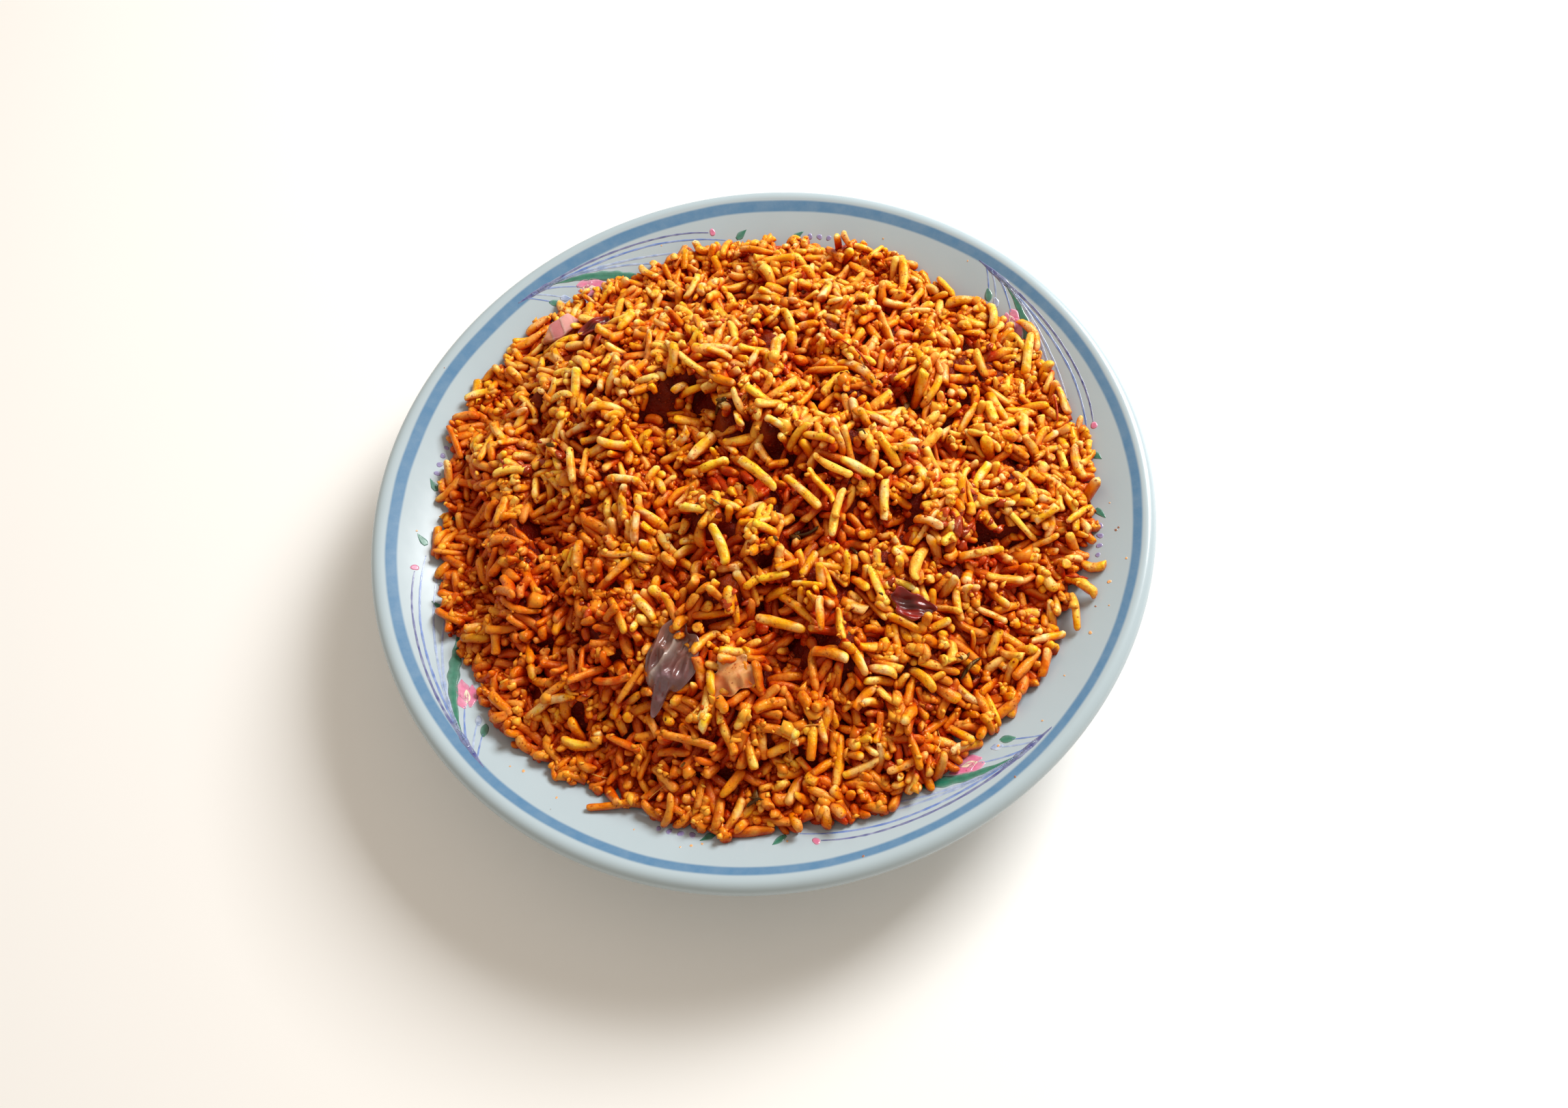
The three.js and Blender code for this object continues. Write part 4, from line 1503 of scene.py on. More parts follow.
@dataclass
class RiceHeap:
    """The heap: a core painted dark red-brown as the shade between the grains, and the settled grains on it,
    in one piece for each kind.
    """

    heap: HeapForm
    dish: DishForm
    pile: GrainPile
    top: PileTop
    fine: GrainShape = GrainShape(rings=10, sides=9)
    middling: GrainShape = GrainShape(rings=8, sides=8)
    coarse: GrainShape = GrainShape(rings=5, sides=6)
    finish: FoodFinish = FoodFinish("cooked_rice")
    pale: Screen = (255, 226, 168)
    kind_shares: tuple[float, ...] = (0.2, 0.42, 0.64, 0.84)
    short_half: float = 2.8
    lumpiness: float = 0.15
    end_power: tuple[float, float] = (1.8, 4.5)
    end_thinning: tuple[float, float] = (0.05, 0.25)
    taper: float = 0.08
    lump: tuple[float, float] = (0.01, 0.06)
    lump_pitch: tuple[float, float] = (3.0, 6.5)
    flatness: tuple[float, float] = (0.68, 1.0)
    groove: tuple[float, float] = (0, 0.13)
    lobe: tuple[float, float] = (0.02, 0.09)
    bend: float = 0.035
    cut_lean: float = 0.55
    cut_depth: tuple[float, float] = (-0.1, 0.9)
    core_inset: float = 4.2
    core_steps: int = 180
    core_rings: int = 64
    core_low_rings: int = 16
    # Dark red-brown of the core: painted shade in the cracks between the grains.
    core_shade_dark: Screen = (100, 22, 3)
    core_shade_warm: Screen = (150, 54, 6)
    core_finish: FoodFinish = FoodFinish(
        "rice_core", roughness=0.6, scatter=0.1, specular=0.1, fleck_share=0.5, bump=1.0)

    def build_core(self) -> None:
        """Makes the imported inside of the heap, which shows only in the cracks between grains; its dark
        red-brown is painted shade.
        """
        angle = full_turn(self.core_steps)
        reach = self.heap.edge_radius(angle) - self.core_inset
        share = np.linspace(0.01, 1, self.core_rings)[:, None]
        x, y = polar(share * reach, angle).reshape(-1, 2).T
        flat = on_plane(x, y)
        bumps = 1.5 * lattice_noise(flat, 3.4, 3) + 0.9 * lattice_noise(flat, 2.0, 4)
        level = self.heap.mass_level(x, y) - self.pile.layer + 1.6 + bumps
        top = np.stack((x, y, np.maximum(level, self.dish.rest_level(np.hypot(x, y), 0.9))), -1)
        share = np.linspace(1, 0.01, self.core_low_rings)[:, None]
        x, y = polar(share * reach, angle).reshape(-1, 2).T
        low = np.stack((x, y, self.dish.rest_level(np.hypot(x, y), self.heap.gap)), -1)
        points = np.concatenate((top, low))
        triangles = capped_triangles(self.core_rings + self.core_low_rings, self.core_steps)
        patch = 0.5 + 0.5 * lattice_noise(points, 3.0, 8)
        # The core takes painted shade twice: its own dark colours, and darkening where the grains hide the
        # sky.
        tint = self.top.sauce_and_painted_shade(points, blend_rows(patch, self.core_shade_dark, self.core_shade_warm), 0 * patch)
        mesh = (points, triangles, tint)
        dress("rice_core", mesh, self.core_finish.material(), "cooked_rice", "rice_heap")

    def grain_mesh(self, chosen: Array, shape: GrainShape, rng: np.random.Generator) -> Arrays:
        """Builds grains as closed, bowed, blunt-ended bodies.

        Args:
            chosen: Numbers of the grains.
            shape: How finely to mesh them.
            rng: Source of each grain's unevenness.

        Returns:
            Vertices as grain by vertex by axis, and triangles of one grain.
        """
        pile, number = self.pile, len(chosen)
        one, two = (number, 1), (number, 1, 1)
        radius, half = pile.radius[chosen], pile.half[chosen]
        centre, axis, side = pile.centre[chosen], pile.axis[chosen], pile.side[chosen]
        third = np.cross(axis, side)
        step = np.linspace(-1, 1, shape.rings + 2)[1:-1]
        share = np.sign(step) * (1 - (1 - np.abs(step)) ** 1.9)
        share = np.concatenate(((-1.0,), share, (1.0,)))
        waist = 1 - np.clip(radius / half, 0, 1)[:, None]
        past = np.maximum(0, np.abs(share) - waist) / (1 - waist)
        blunt = np.sqrt(np.maximum(0, 1 - past ** rng.uniform(*self.end_power, one)))
        blunt = blunt * (1 - rng.uniform(*self.end_thinning, one) * share**2)
        turn = full_turn(shape.sides)
        taper = rng.normal(0, self.taper, one)
        lump = rng.uniform(*self.lump, one)
        phase = rng.uniform(0, 6.3, one)
        pitch = rng.uniform(*self.lump_pitch, one)
        swell = (1 + taper * share) * (1 + lump * np.sin(pitch * share + phase))
        flatten = rng.uniform(*self.flatness, two)
        crease = rng.uniform(0, 6.3, two)
        groove = 1 - rng.uniform(*self.groove, two) * np.exp(-((np.sin((turn - crease) / 2) / 0.3) ** 2))
        lobes = 1 + rng.uniform(*self.lobe, two) * np.cos(3 * turn + rng.uniform(0, 6.3, two))
        ring = (radius[:, None] * blunt * swell)[..., None] * groove * lobes
        bend = rng.normal(0, self.bend, one) * half[:, None] * 2
        line = centre[:, None] + axis[:, None] * (half[:, None] * share)[..., None]
        line = line + side[:, None] * (pile.bow[chosen, None] * (0.67 - share**2))[..., None]
        line = line + third[:, None] * (bend * (share**3 - 0.7 * share))[..., None]
        wide, tall = ring * np.cos(turn), ring * flatten * np.sin(turn)
        spoke = side[:, None, None] * wide[..., None] + third[:, None, None] * tall[..., None]
        body = line[:, :, None] + spoke
        flat = body.reshape(-1, 3)
        rough = lattice_noise(flat, 1.25, 31) + 0.5 * lattice_noise(flat, 0.6, 32)
        body = body + spoke * (self.lumpiness * rough).reshape(*body.shape[:3], 1)
        rings = body[:, 1:-1].reshape(number, -1, 3)
        points = np.concatenate((rings, line[:, :1], line[:, -1:]), axis=1)
        for end in (-1, 1):
            lean = rng.normal(0, self.cut_lean, (2, number, 1))
            face = unit(end * axis + lean[0] * side + lean[1] * third)[:, None]
            reach = (half - radius * rng.uniform(*self.cut_depth, number))[:, None]
            over = ((points - centre[:, None]) * face).sum(-1)
            points = points - face * np.maximum(0, over - reach)[..., None]
        return points, pointed_triangles(shape.rings, shape.sides)

    def grain_tints(self, kind: GrainKind, points: Array, rng: np.random.Generator) -> Array:
        """Colours the grains: their kind's colour, varied, redder where sauce lies, with painted shade that
        makes them darker and redder deeper down among the grains and on the left front, away from the window
        lamp.

        Args:
            kind: Their kind.
            points: Their vertices as grain by vertex by axis.
            rng: Source of the variation.

        Returns:
            A linear colour for each vertex.
        """
        number, size = points.shape[:2]
        flat = points.reshape(-1, 3)
        x, y, _ = flat.T
        patch = lattice_noise(flat, 11.0, 21) + 0.6 * lattice_noise(flat, 4.0, 22)
        # More sauce towards the rim, and sauce together with painted shade towards the left front (-x, -y),
        # the side away from the window lamp.
        lean = np.clip((-0.7 * x - 0.6 * y - 30) / 50 + (x**2 + y**2) / 16000, -0.9, 1)
        sauce = smooth_step((patch + 1.1 * lean) / 0.9)
        smear = lattice_noise(flat, 1.5, 23)
        paler = rng.uniform(0.1, 1.0, (number, 1)) * smooth_step((0.12 - smear) / 0.5).reshape(number, size)
        color = ink(kind.value) + (ink(self.pale) - ink(kind.value)) * paler[..., None]
        color = np.clip(color * rng.normal(1, 0.06, (number, 1, 1)), 0, 1).reshape(-1, 3)
        # Painted shade where the grains round a point hide the sky, mixed with the sauce.
        return self.top.sauce_and_painted_shade(flat, color, 0.7 * sauce + 0.3 * smooth_step((smear - 0.1) / 0.6))

    def build_grains(self) -> None:
        """Makes the grains, one piece for each kind, the hidden ones more coarsely."""
        rng = np.random.default_rng(SEED + 1)
        shown = self.pile.open_balls()
        score = lattice_noise(self.pile.centre, 10.0, 51) + rng.normal(0, 0.4, self.pile.count)
        kinds = np.searchsorted(np.quantile(-score, self.kind_shares), -score)
        kinds[shown == 0] = len(GrainKind) - 1
        short = self.pile.half < self.short_half
        plain = (shown > 5) & ~short
        material = self.finish.material()
        for number, kind in enumerate(GrainKind):
            parts = []
            for shape, wanted in (
                (self.fine, plain),
                (self.middling, (shown > 0) & ~plain),
                (self.coarse, shown == 0),
            ):
                chosen = np.flatnonzero(wanted & (kinds == number))
                if not len(chosen):
                    continue
                points, triangles = self.grain_mesh(chosen, shape, rng)
                tint = self.grain_tints(kind, points, rng)
                every = copies(triangles, len(chosen), points.shape[1])
                parts.append((points.reshape(-1, 3), every, tint))
            dress("grains_" + kind.name.lower(), joined(parts), material, "cooked_rice")


# Pieces of onion and pepper

@dataclass(frozen=True)
class CutForm:
    """Where a cut piece lies on the heap, and its lens-like form, with the CAD model's own sizes."""

    node: str
    x: float
    y: float
    long: float
    wide: float
    heading: float
    edge: float
    arch: float
    narrow: float
    bare: float = 0.7
    gap: float = 0.45

    def share_at(self, x: Array, y: Array) -> Array:
        """Share of the way out of the piece's outline at each place: under 1 inside it."""
        along, across = lengthwise(x - self.x, y - self.y, self.heading)
        return np.hypot(along / self.long, across / self.wide)

    def plan(self, share: Array, angle: Array) -> Arrays:
        """Lays out places inside the outline.

        Args:
            share: Shares of the way out to the rim.
            angle: Directions round the piece in radians.

        Returns:
            The places' x and y, and their shares along and across the piece.
        """
        ahead, left = heading_of(self.heading)
        along = share * np.cos(angle)
        across = share * np.sin(angle) * np.minimum(1, 1 - self.narrow * along)
        x = self.x + self.long * along * ahead - self.wide * across * left
        y = self.y + self.long * along * left + self.wide * across * ahead
        return x, y, along, across

    def underside(self, heap: HeapForm, x: Array, y: Array) -> Array:
        """Level of the piece's underside."""
        return np.maximum(heap.level(x, y), heap.dish.rest_level(np.hypot(x, y), heap.gap)) + self.gap

    def blocks(self, heap: HeapForm) -> Array:
        """Places balls that stand for the piece while grains settle round it.

        Args:
            heap: The heap that the piece lies on.

        Returns:
            The middles.
        """
        share, angle = np.meshgrid(self.bare * np.array((0.1, 0.4, 0.7, 1.0)), full_turn(13))
        x, y, _, _ = self.plan(share.ravel(), angle.ravel())
        return np.stack((x, y, self.underside(heap, x, y) + 0.7), -1)


CUT_FORMS = (
    CutForm("onion_petal_front", -29.5, -47, 12, 6.6, -122, 1.0, 2.6, 0.45, 0.52),
    CutForm("onion_chunk_back", -43.5, 67, 6.2, 4.6, 205, 1.2, 3.2, 0.1, 1.0),
    CutForm("onion_layer_front", -15, -54, 6.6, 4.6, 15, 1.0, 1.6, 0.15, 0.3),
    CutForm("pepper_skin_right", 31.5, -46, 5.4, 3.6, -35, 0.9, 1.2, 0.25),
    CutForm("pepper_skin_back", -33, 62, 5.0, 3.0, 10, 0.9, 1.3, 0.2),
)


@dataclass
class CutPiece:
    """A piece of vegetable: a closed skin over the CAD form, which kinds of piece fold and colour."""

    form: CutForm
    heap: HeapForm
    slot: str
    finish: FoodFinish
    rings: int = 22
    steps: int = 72
    thickness: float = 0.9
    ragged: float = 0.06

    def outline(self, angle: Array) -> Array:
        """Share of the plain outline that the piece reaches in each direction."""
        return 1 + self.ragged * (np.sin(3 * angle + self.form.x) + 0.6 * np.sin(7 * angle + self.form.y))

    def relief(self, along: Array, across: Array) -> Array:
        """Height that the kind of piece adds to the plain arched form."""
        raise NotImplementedError

    def tint(self, along: Array, across: Array) -> Array:
        """Linear colour at each place."""
        raise NotImplementedError

    def build(self) -> None:
        """Makes and dresses the piece."""
        share = np.linspace(0.03, 1, self.rings)[:, None]
        angle = full_turn(self.steps)
        wobble = 1 + (self.outline(angle) - 1) * share**2
        grid_share, grid_angle = np.broadcast_arrays(share * wobble, angle)
        x, y, along, across = (part.ravel() for part in self.form.plan(grid_share, grid_angle))
        full = np.broadcast_to(share, grid_angle.shape).ravel()
        low = self.form.underside(self.heap, x, y)
        plain = low + self.form.edge + self.form.arch * (1 - full**2)
        top = plain + self.relief(along, across) * (1 - full**8)
        thin = self.thickness * (1 - 0.6 * full**6)
        upper = np.stack((x, y, top), -1)
        lower = np.stack((x, y, np.maximum(low - 0.3, top - thin)), -1)
        color = self.tint(along, across)
        points, colors = (
            np.concatenate((rows, back.reshape(self.rings, self.steps, 3)[::-1].reshape(-1, 3)))
            for rows, back in ((upper, lower), (color, color)))
        mesh = (points, capped_triangles(2 * self.rings, self.steps), colors)
        dress(self.form.node + "_flesh", mesh, self.finish.material(), self.slot, self.form.node)


class OnionPetal(CutPiece):
    """A soft, crumpled, see-through purple petal: a bowl with a folded edge and a narrow tail.

    The waist's rows are the depth, direction and width of each dent.
    """

    waist: tuple[tuple[float, float, float], ...] = (
        (0.46, 0.62, 0.36), (0.2, -0.75, 0.3), (0.2, 2.7, 0.3), (0.14, -2.0, 0.25))

    def outline(self, angle: Array) -> Array:
        """Narrows the plain outline by a waist beside the tail and two notches.

        Args:
            angle: Directions round the piece in radians.

        Returns:
            Share of the plain outline reached in each.
        """
        turn = (angle + math.pi) % (2 * math.pi) - math.pi
        dents = [depth * np.exp(-(((turn - middle) / width) ** 2)) for depth, middle, width in self.waist]
        return super().outline(angle) - sum(dents)

    def fold(self, along: Array, across: Array) -> Array:
        """How near each place is to the fold that runs down one side, from 0 to 1."""
        bend = across + 0.3 + 0.3 * along + 0.12 * np.sin(5 * along)
        return np.exp(-((bend / 0.13) ** 2)) * smooth_step((0.75 - along) / 0.5)

    def relief(self, along: Array, across: Array) -> Array:
        """A raised fold, a bowl beside it and crumples.

        Args:
            along: Shares of the way along the piece.
            across: Shares of the way across it.

        Returns:
            The height added.
        """
        bowl = np.exp(-(((along + 0.38) / 0.4) ** 2) - ((across - 0.2) / 0.5) ** 2)
        spots = on_plane(along, across)
        broad = np.abs(lattice_noise(spots, 0.5, 61))
        small = np.abs(lattice_noise(spots, 0.2, 62))
        sunk = 1.5 * smooth_step((-0.45 - along) / 0.4)
        return 1.5 * self.fold(along, across) - 2.4 * bowl - 2.4 * broad - 0.8 * small + 0.5 - sunk

    def tint(self, along: Array, across: Array) -> Array:
        """Brownish grey-purple, darker in clouds, bluer towards the tail, with a painted highlight on the
        fold.

        Args:
            along: Shares of the way along the piece.
            across: Shares of the way across it.

        Returns:
            The linear colours.
        """
        # Painted highlight: a pale band along the raised fold.
        fold = 0.75 * self.fold(along, across)
        spots = on_plane(along, across)
        cloud = smooth_step(0.5 + lattice_noise(spots, 0.35, 63))
        base = blend_rows(smooth_step(along * 0.9 + 0.5), (178, 122, 108), (162, 126, 140))
        base = base * (1 - 0.5 * cloud[:, None]) + ink((140, 78, 60)) * 0.5 * cloud[:, None]
        return base * (1 - fold[:, None]) + ink((226, 206, 196)) * fold[:, None]


class OnionChunk(CutPiece):
    """A pink chunk whose layers show side by side, each a flat facet, between straight cuts.

    Each cut is an angle in degrees and a distance from the middle.
    """

    cuts: tuple[tuple[float, float], ...] = ((180, 0.86), (262, 0.8), (322, 0.82), (38, 0.8), (98, 0.82))

    def outline(self, angle: Array) -> Array:
        """Cuts the outline to a kite with straight sides.

        Args:
            angle: Directions round the piece in radians.

        Returns:
            Share of the plain outline reached in each.
        """
        sides = [np.cos(angle - math.radians(turn)) / away for turn, away in self.cuts]
        return np.minimum(1.08, 1 / np.maximum(0.2, np.max(sides, axis=0)))

    def layers(self, along: Array, across: Array) -> Arrays:
        """Finds the layer that each place belongs to.

        Args:
            along: Shares of the way along the piece.
            across: Shares of the way across it.

        Returns:
            The number of the layer at each place, and the place within it from 0 to 1.
        """
        place = (along - 0.22 * across) * 1.6 + 2.2
        return np.floor(place), place % 1

    def relief(self, along: Array, across: Array) -> Array:
        """Slanting facets with a step between them, on a slant that flattens the arch.

        Args:
            along: Shares of the way along the piece.
            across: Shares of the way across it.

        Returns:
            The height added.
        """
        _, inside = self.layers(along, across)
        arch = self.form.arch * np.minimum(1, along**2 + across**2)
        return 0.34 * (inside - 0.5) * smooth_step((1 - inside) / 0.16) - 1.9 * across + 0.8 * arch - 1.7

    def tint(self, along: Array, across: Array) -> Array:
        """One pink for each layer, from rosy to tan, paler at its upper rim.

        Args:
            along: Shares of the way along the piece.
            across: Shares of the way across it.

        Returns:
            The linear colours.
        """
        number, inside = self.layers(along, across)
        rosy = blend_rows(number % 2, (206, 126, 128), (228, 166, 160))
        pale = (smooth_step((inside - 0.75) / 0.25) * 0.5)[:, None]
        color = rosy * (1 - pale) + ink((246, 214, 204)) * pale
        return np.where((number >= 3)[:, None], ink((216, 150, 112)), color)


class OnionLayer(CutPiece):
    """A pale, soft, half-buried layer of onion stained by the sauce, with pale streaks across it."""

    def streak(self, along: Array, across: Array) -> Array:
        """How pale each place is, from 0 to 1, in uneven streaks that run across the piece."""
        spots = on_plane(1.6 * along, 0.35 * across)
        return smooth_step(0.5 + 1.2 * lattice_noise(spots, 0.3, 64))

    def relief(self, along: Array, across: Array) -> Array:
        """Soft ribs along the streaks and dents."""
        spots = on_plane(along, across)
        return 0.25 * self.streak(along, across) - 0.8 * np.abs(lattice_noise(spots, 0.5, 65)) - 0.6

    def tint(self, along: Array, across: Array) -> Array:
        """Stained orange, with pinkish cream streaks."""
        return blend_rows(0.7 * self.streak(along, across), (200, 98, 28), (240, 180, 112))


class PepperSkin(CutPiece):
    """A curled dark red piece of pepper skin."""

    def relief(self, along: Array, across: Array) -> Array:
        """A trough between curled edges, with creases."""
        curl = 1.6 * np.abs(across) ** 2 - 1.9 * (1 - across**2)
        return curl + 0.35 * np.sin(5 * along + 3 * across) + 0.2 * np.sin(11 * across - 4 * along)

    def tint(self, along: Array, across: Array) -> Array:
        """Dark red, with painted shade in the sunken trough and painted light on the raised, curled edges.
        """
        # Painted shade and light: darkest along the sunken middle, brightest on the raised edges.
        painted_edge_light = smooth_step(np.abs(across) * 1.3 + 0.15 * np.sin(6 * along))
        return blend_rows(painted_edge_light, (78, 8, 3), (140, 22, 8))


# Seasoning

@dataclass(frozen=True)
class Patch:
    """A place on the heap where bits of one kind gather, and how many and how big they are."""

    x: float
    y: float
    spread: float
    count: int
    size: float = 1.2


@dataclass(frozen=True)
class BitKind:
    """One kind of small bit: its piece's name, its two screen colours, its flatness and fineness."""

    name: str
    dark: Screen
    light: Screen
    stretch: tuple[float, float, float]
    fineness: int
    unevenness: float
    finish: FoodFinish


PULP_PATCHES = tuple(Patch(*row) for row in (
    (51, -27, 7, 16, 1.7), (57, -21, 5, 8, 1.3), (-60, 25, 7, 10, 1.6), (28, -38, 3, 5, 1.4),
    (-10, -37, 4, 6, 1.2), (-32, -76, 4, 5, 1.3), (63, -50, 4, 6, 1.5), (-33, -21, 3, 4, 1.2),
    (79, 24, 6, 8, 1.2), (85, 6, 3, 4, 1.1), (40, 18, 5, 6, 1.2), (-44, -25, 4, 3, 1.1),
    (-54, -50, 8, 5, 1.1), (10, 60, 12, 5, 0.9), (-10, 20, 30, 12, 0.9), (20, -60, 20, 8, 0.9),
))
HERB_PATCHES = tuple(Patch(*row) for row in (
    (45, 13, 4, 5, 1.0), (-3, 18, 2, 2, 1.1), (42, -61, 3, 4, 1.0), (11, -21, 3, 2, 0.8),
    (-17, -82, 3, 2, 1.2), (33, 20, 4, 3, 0.8), (0, 0, 60, 30, 0.55),
))


@dataclass(frozen=True)
class Strand:
    """A thin strand over the grains: place, heading in degrees, length, half thickness, bend, stiffness.

    Stiffness is the share of a straight line in its course, the rest following the grains.
    """

    x: float
    y: float
    heading: float
    length: float
    radius: float
    bend: float
    stiff: float


PALE_FIBRES = tuple(Strand(*row) for row in (
    (1, -70, -10, 9, 0.13, 1.2, 0.4),
    (-5, -73, 75, 5, 0.12, 0.8, 0.4),
    (-53, -65, -30, 5, 0.13, -0.6, 0.4),
    (-39, -74, 15, 6, 0.12, 0.7, 0.4),
    (29, -77, -110, 7, 0.14, 1.0, 0.4),
    (-12, 40, 60, 5, 0.12, 0.8, 0.4),
))
PEPPER_STRIPS = tuple(Strand(*row) for row in (
    (35, 27, -55, 11, 0.28, 0.8, 0.9),
    (85, 5, -100, 9, 0.32, 0.5, 0.9),
    (-48, 22, -65, 8, 0.25, 0.4, 0.9),
    (75, -44, 160, 6, 0.4, 0.6, 0.6),
))
DARK_HUSKS = tuple(Strand(*row) for row in (
    (11, -21, 5, 6, 0.5, -0.8, 0.8),
    (42, -62, 35, 8, 0.55, 0.6, 0.8),
    (21, -29, -70, 4, 0.5, 0.3, 0.8),
    (-3, 18, 10, 4, 0.7, 0.5, 0.7),
    (-17, -82, 10, 4, 0.5, 0.4, 0.7),
))


@dataclass
class Seasoning:
    """Crumbs of spice, tomato pulp, herb flakes, husks and fibres that lie among the grains."""

    pile: GrainPile
    top: PileTop
    crumb_count: int = 3000
    crumb_size: float = 0.44
    red_share: float = 0.2
    mash_count: int = 3200
    mash_size: float = 0.88
    mash_lift: float = 0.3
    patch_reach: float = 84.0
    spice: FoodFinish = FoodFinish("spice_crumbs", roughness=0.4, scatter=0.2, fleck_share=0.1, bump=0.2)
    pale: FoodFinish = FoodFinish("rice_crumbs", roughness=0.32, scatter=0.0, fleck_share=0.15, bump=0.2)
    pulp: FoodFinish = FoodFinish(
        "tomato_pulp", roughness=0.22, scatter=0.35, coat=0.6, fleck_share=0.1, bump=0.4)
    herb: FoodFinish = FoodFinish(
        "herb_flakes", roughness=0.5, scatter=0.0, coat=0.15, fleck_share=0.1, bump=0.4)

    @staticmethod
    def ball(fineness: int) -> Arrays:
        """Makes a round body of even triangles.

        Args:
            fineness: How often its faces are divided.

        Returns:
            Its vertices and triangles.
        """
        shape = bmesh.new()
        bmesh.ops.create_icosphere(shape, subdivisions=fineness, radius=1.0)
        points = np.array([vertex.co[:] for vertex in shape.verts])
        triangles = np.array([[vertex.index for vertex in face.verts] for face in shape.faces])
        shape.free()
        return points, triangles

    @staticmethod
    def turns(number: int, lying: bool, rng: np.random.Generator) -> Array:
        """Draws how each bit is turned: any way, or lying nearly flat.

        Args:
            number: Bits wanted.
            lying: Whether they lie flat.
            rng: Source of the turns.

        Returns:
            One matrix for each bit.
        """
        free, _ = np.linalg.qr(rng.normal(size=(number, 3, 3)))
        if not lying:
            return free
        heading = rng.uniform(0, 2 * math.pi, number)
        flat = np.zeros((number, 3, 3))
        flat[:, 0, :2] = np.stack((np.cos(heading), -np.sin(heading)), -1)
        flat[:, 1, :2] = np.stack((np.sin(heading), np.cos(heading)), -1)
        flat[:, 2, 2] = 1
        return flat + 0.35 * rng.normal(size=flat.shape)

    def bits(self, kind: BitKind, places: Array, sizes: Array, rng: np.random.Generator) -> None:
        """Makes one piece of many small uneven bodies.

        Args:
            kind: What they are.
            places: Their middles.
            sizes: Their radii.
            rng: Source of their unevenness.
        """
        points, triangles = self.ball(kind.fineness)
        number, size = len(places), len(points)
        seeds = points[None] + rng.uniform(0, 900, (number, 1, 3))
        rough = lattice_noise(seeds.reshape(-1, 3), 0.8, 41).reshape(number, size, 1)
        body = points[None] * (1 + kind.unevenness * rough) * sizes[:, None, None] * np.array(kind.stretch)
        turns = self.turns(number, kind.stretch[2] < 0.5, rng)
        body = np.einsum("nij,nvj->nvi", turns, body) + places[:, None]
        share = np.clip(np.repeat(rng.uniform(0, 1, number), size) + 0.3 * rough.ravel(), 0, 1)
        spots = body.reshape(-1, 3)
        # Painted shade where the grains round a bit hide the sky.
        tint = self.top.sauce_and_painted_shade(spots, blend_rows(share, kind.dark, kind.light), 0 * share)
        mesh = (spots, copies(triangles, number, size), tint)
        dress(kind.name, mesh, kind.finish.material(), "cooked_rice")

    @staticmethod
    def off_pieces(places: Array) -> Array:
        """Leaves out places on or under the cut pieces."""
        bare = np.all([form.share_at(places[:, 0], places[:, 1]) > 0.95 for form in CUT_FORMS], axis=0)
        return places[bare]

    def contact_places(self, count: int, rng: np.random.Generator) -> Array:
        """Draws places between touching grains near the pile's top, where mash collects.

        Args:
            count: Places wanted at most.
            rng: Source of the choice.

        Returns:
            The places.
        """
        shown = np.flatnonzero(self.pile.open_balls() > 2)
        beads = self.pile.bead_places()[shown].reshape(-1, 3)
        owner = np.repeat(np.arange(len(shown)), self.pile.beads)
        first, second = self.pile.close_pairs(beads, self.pile.girth)
        gap = np.linalg.norm(beads[first] - beads[second], axis=1)
        touching = (owner[first] != owner[second]) & (gap < self.pile.girth)
        middle = (beads[first[touching]] + beads[second[touching]]) / 2 + (0, 0, self.mash_lift)
        middle = middle[self.top.level(middle[:, 0], middle[:, 1]) - middle[:, 2] < 1.5]
        return middle[rng.choice(len(middle), min(count, len(middle)), replace=False)]

    def build_crumbs(self) -> None:
        """Makes crumbs of spice on the grains, thicker where sauce lies, and mash between them."""
        rng = np.random.default_rng(SEED + 2)
        shown = np.flatnonzero(self.pile.open_balls() > 2)
        grain = rng.choice(shown, 3 * self.crumb_count)
        bead = rng.integers(0, self.pile.beads, len(grain))
        places = self.pile.bead_places()[grain, bead]
        way = unit(rng.normal(size=places.shape) + (0, 0, 0.7))
        places = self.off_pieces(places + way * self.pile.radius[grain, None])
        saucy = lattice_noise(places, 9.0, 21) + 0.5 * rng.normal(size=len(places))
        kept = np.argsort(-saucy)[: self.crumb_count]
        sizes = self.crumb_size * np.exp(rng.normal(0, 0.35, self.crumb_count))
        is_red = rng.uniform(0, 1, self.crumb_count) < self.red_share
        red = BitKind("crumbs_red", (120, 30, 5), (200, 84, 10), (1, 1, 1), 1, 0.7, self.spice)
        golden = BitKind("crumbs_golden", (240, 146, 22), (255, 200, 80), (1.2, 0.9, 0.9), 1, 0.9, self.pale)
        for kind, chosen, growth in ((red, is_red, 0.9), (golden, ~is_red, 1.5)):
            self.bits(kind, places[kept[chosen]], sizes[chosen] * growth, rng)
        contacts = self.off_pieces(self.contact_places(self.mash_count, rng))
        mash = BitKind("rice_mash", (226, 120, 16), (252, 184, 60), (1.25, 0.95, 0.9), 1, 1.1, self.pale)
        self.bits(mash, contacts, self.mash_size * np.exp(rng.normal(0, 0.3, len(contacts))), rng)

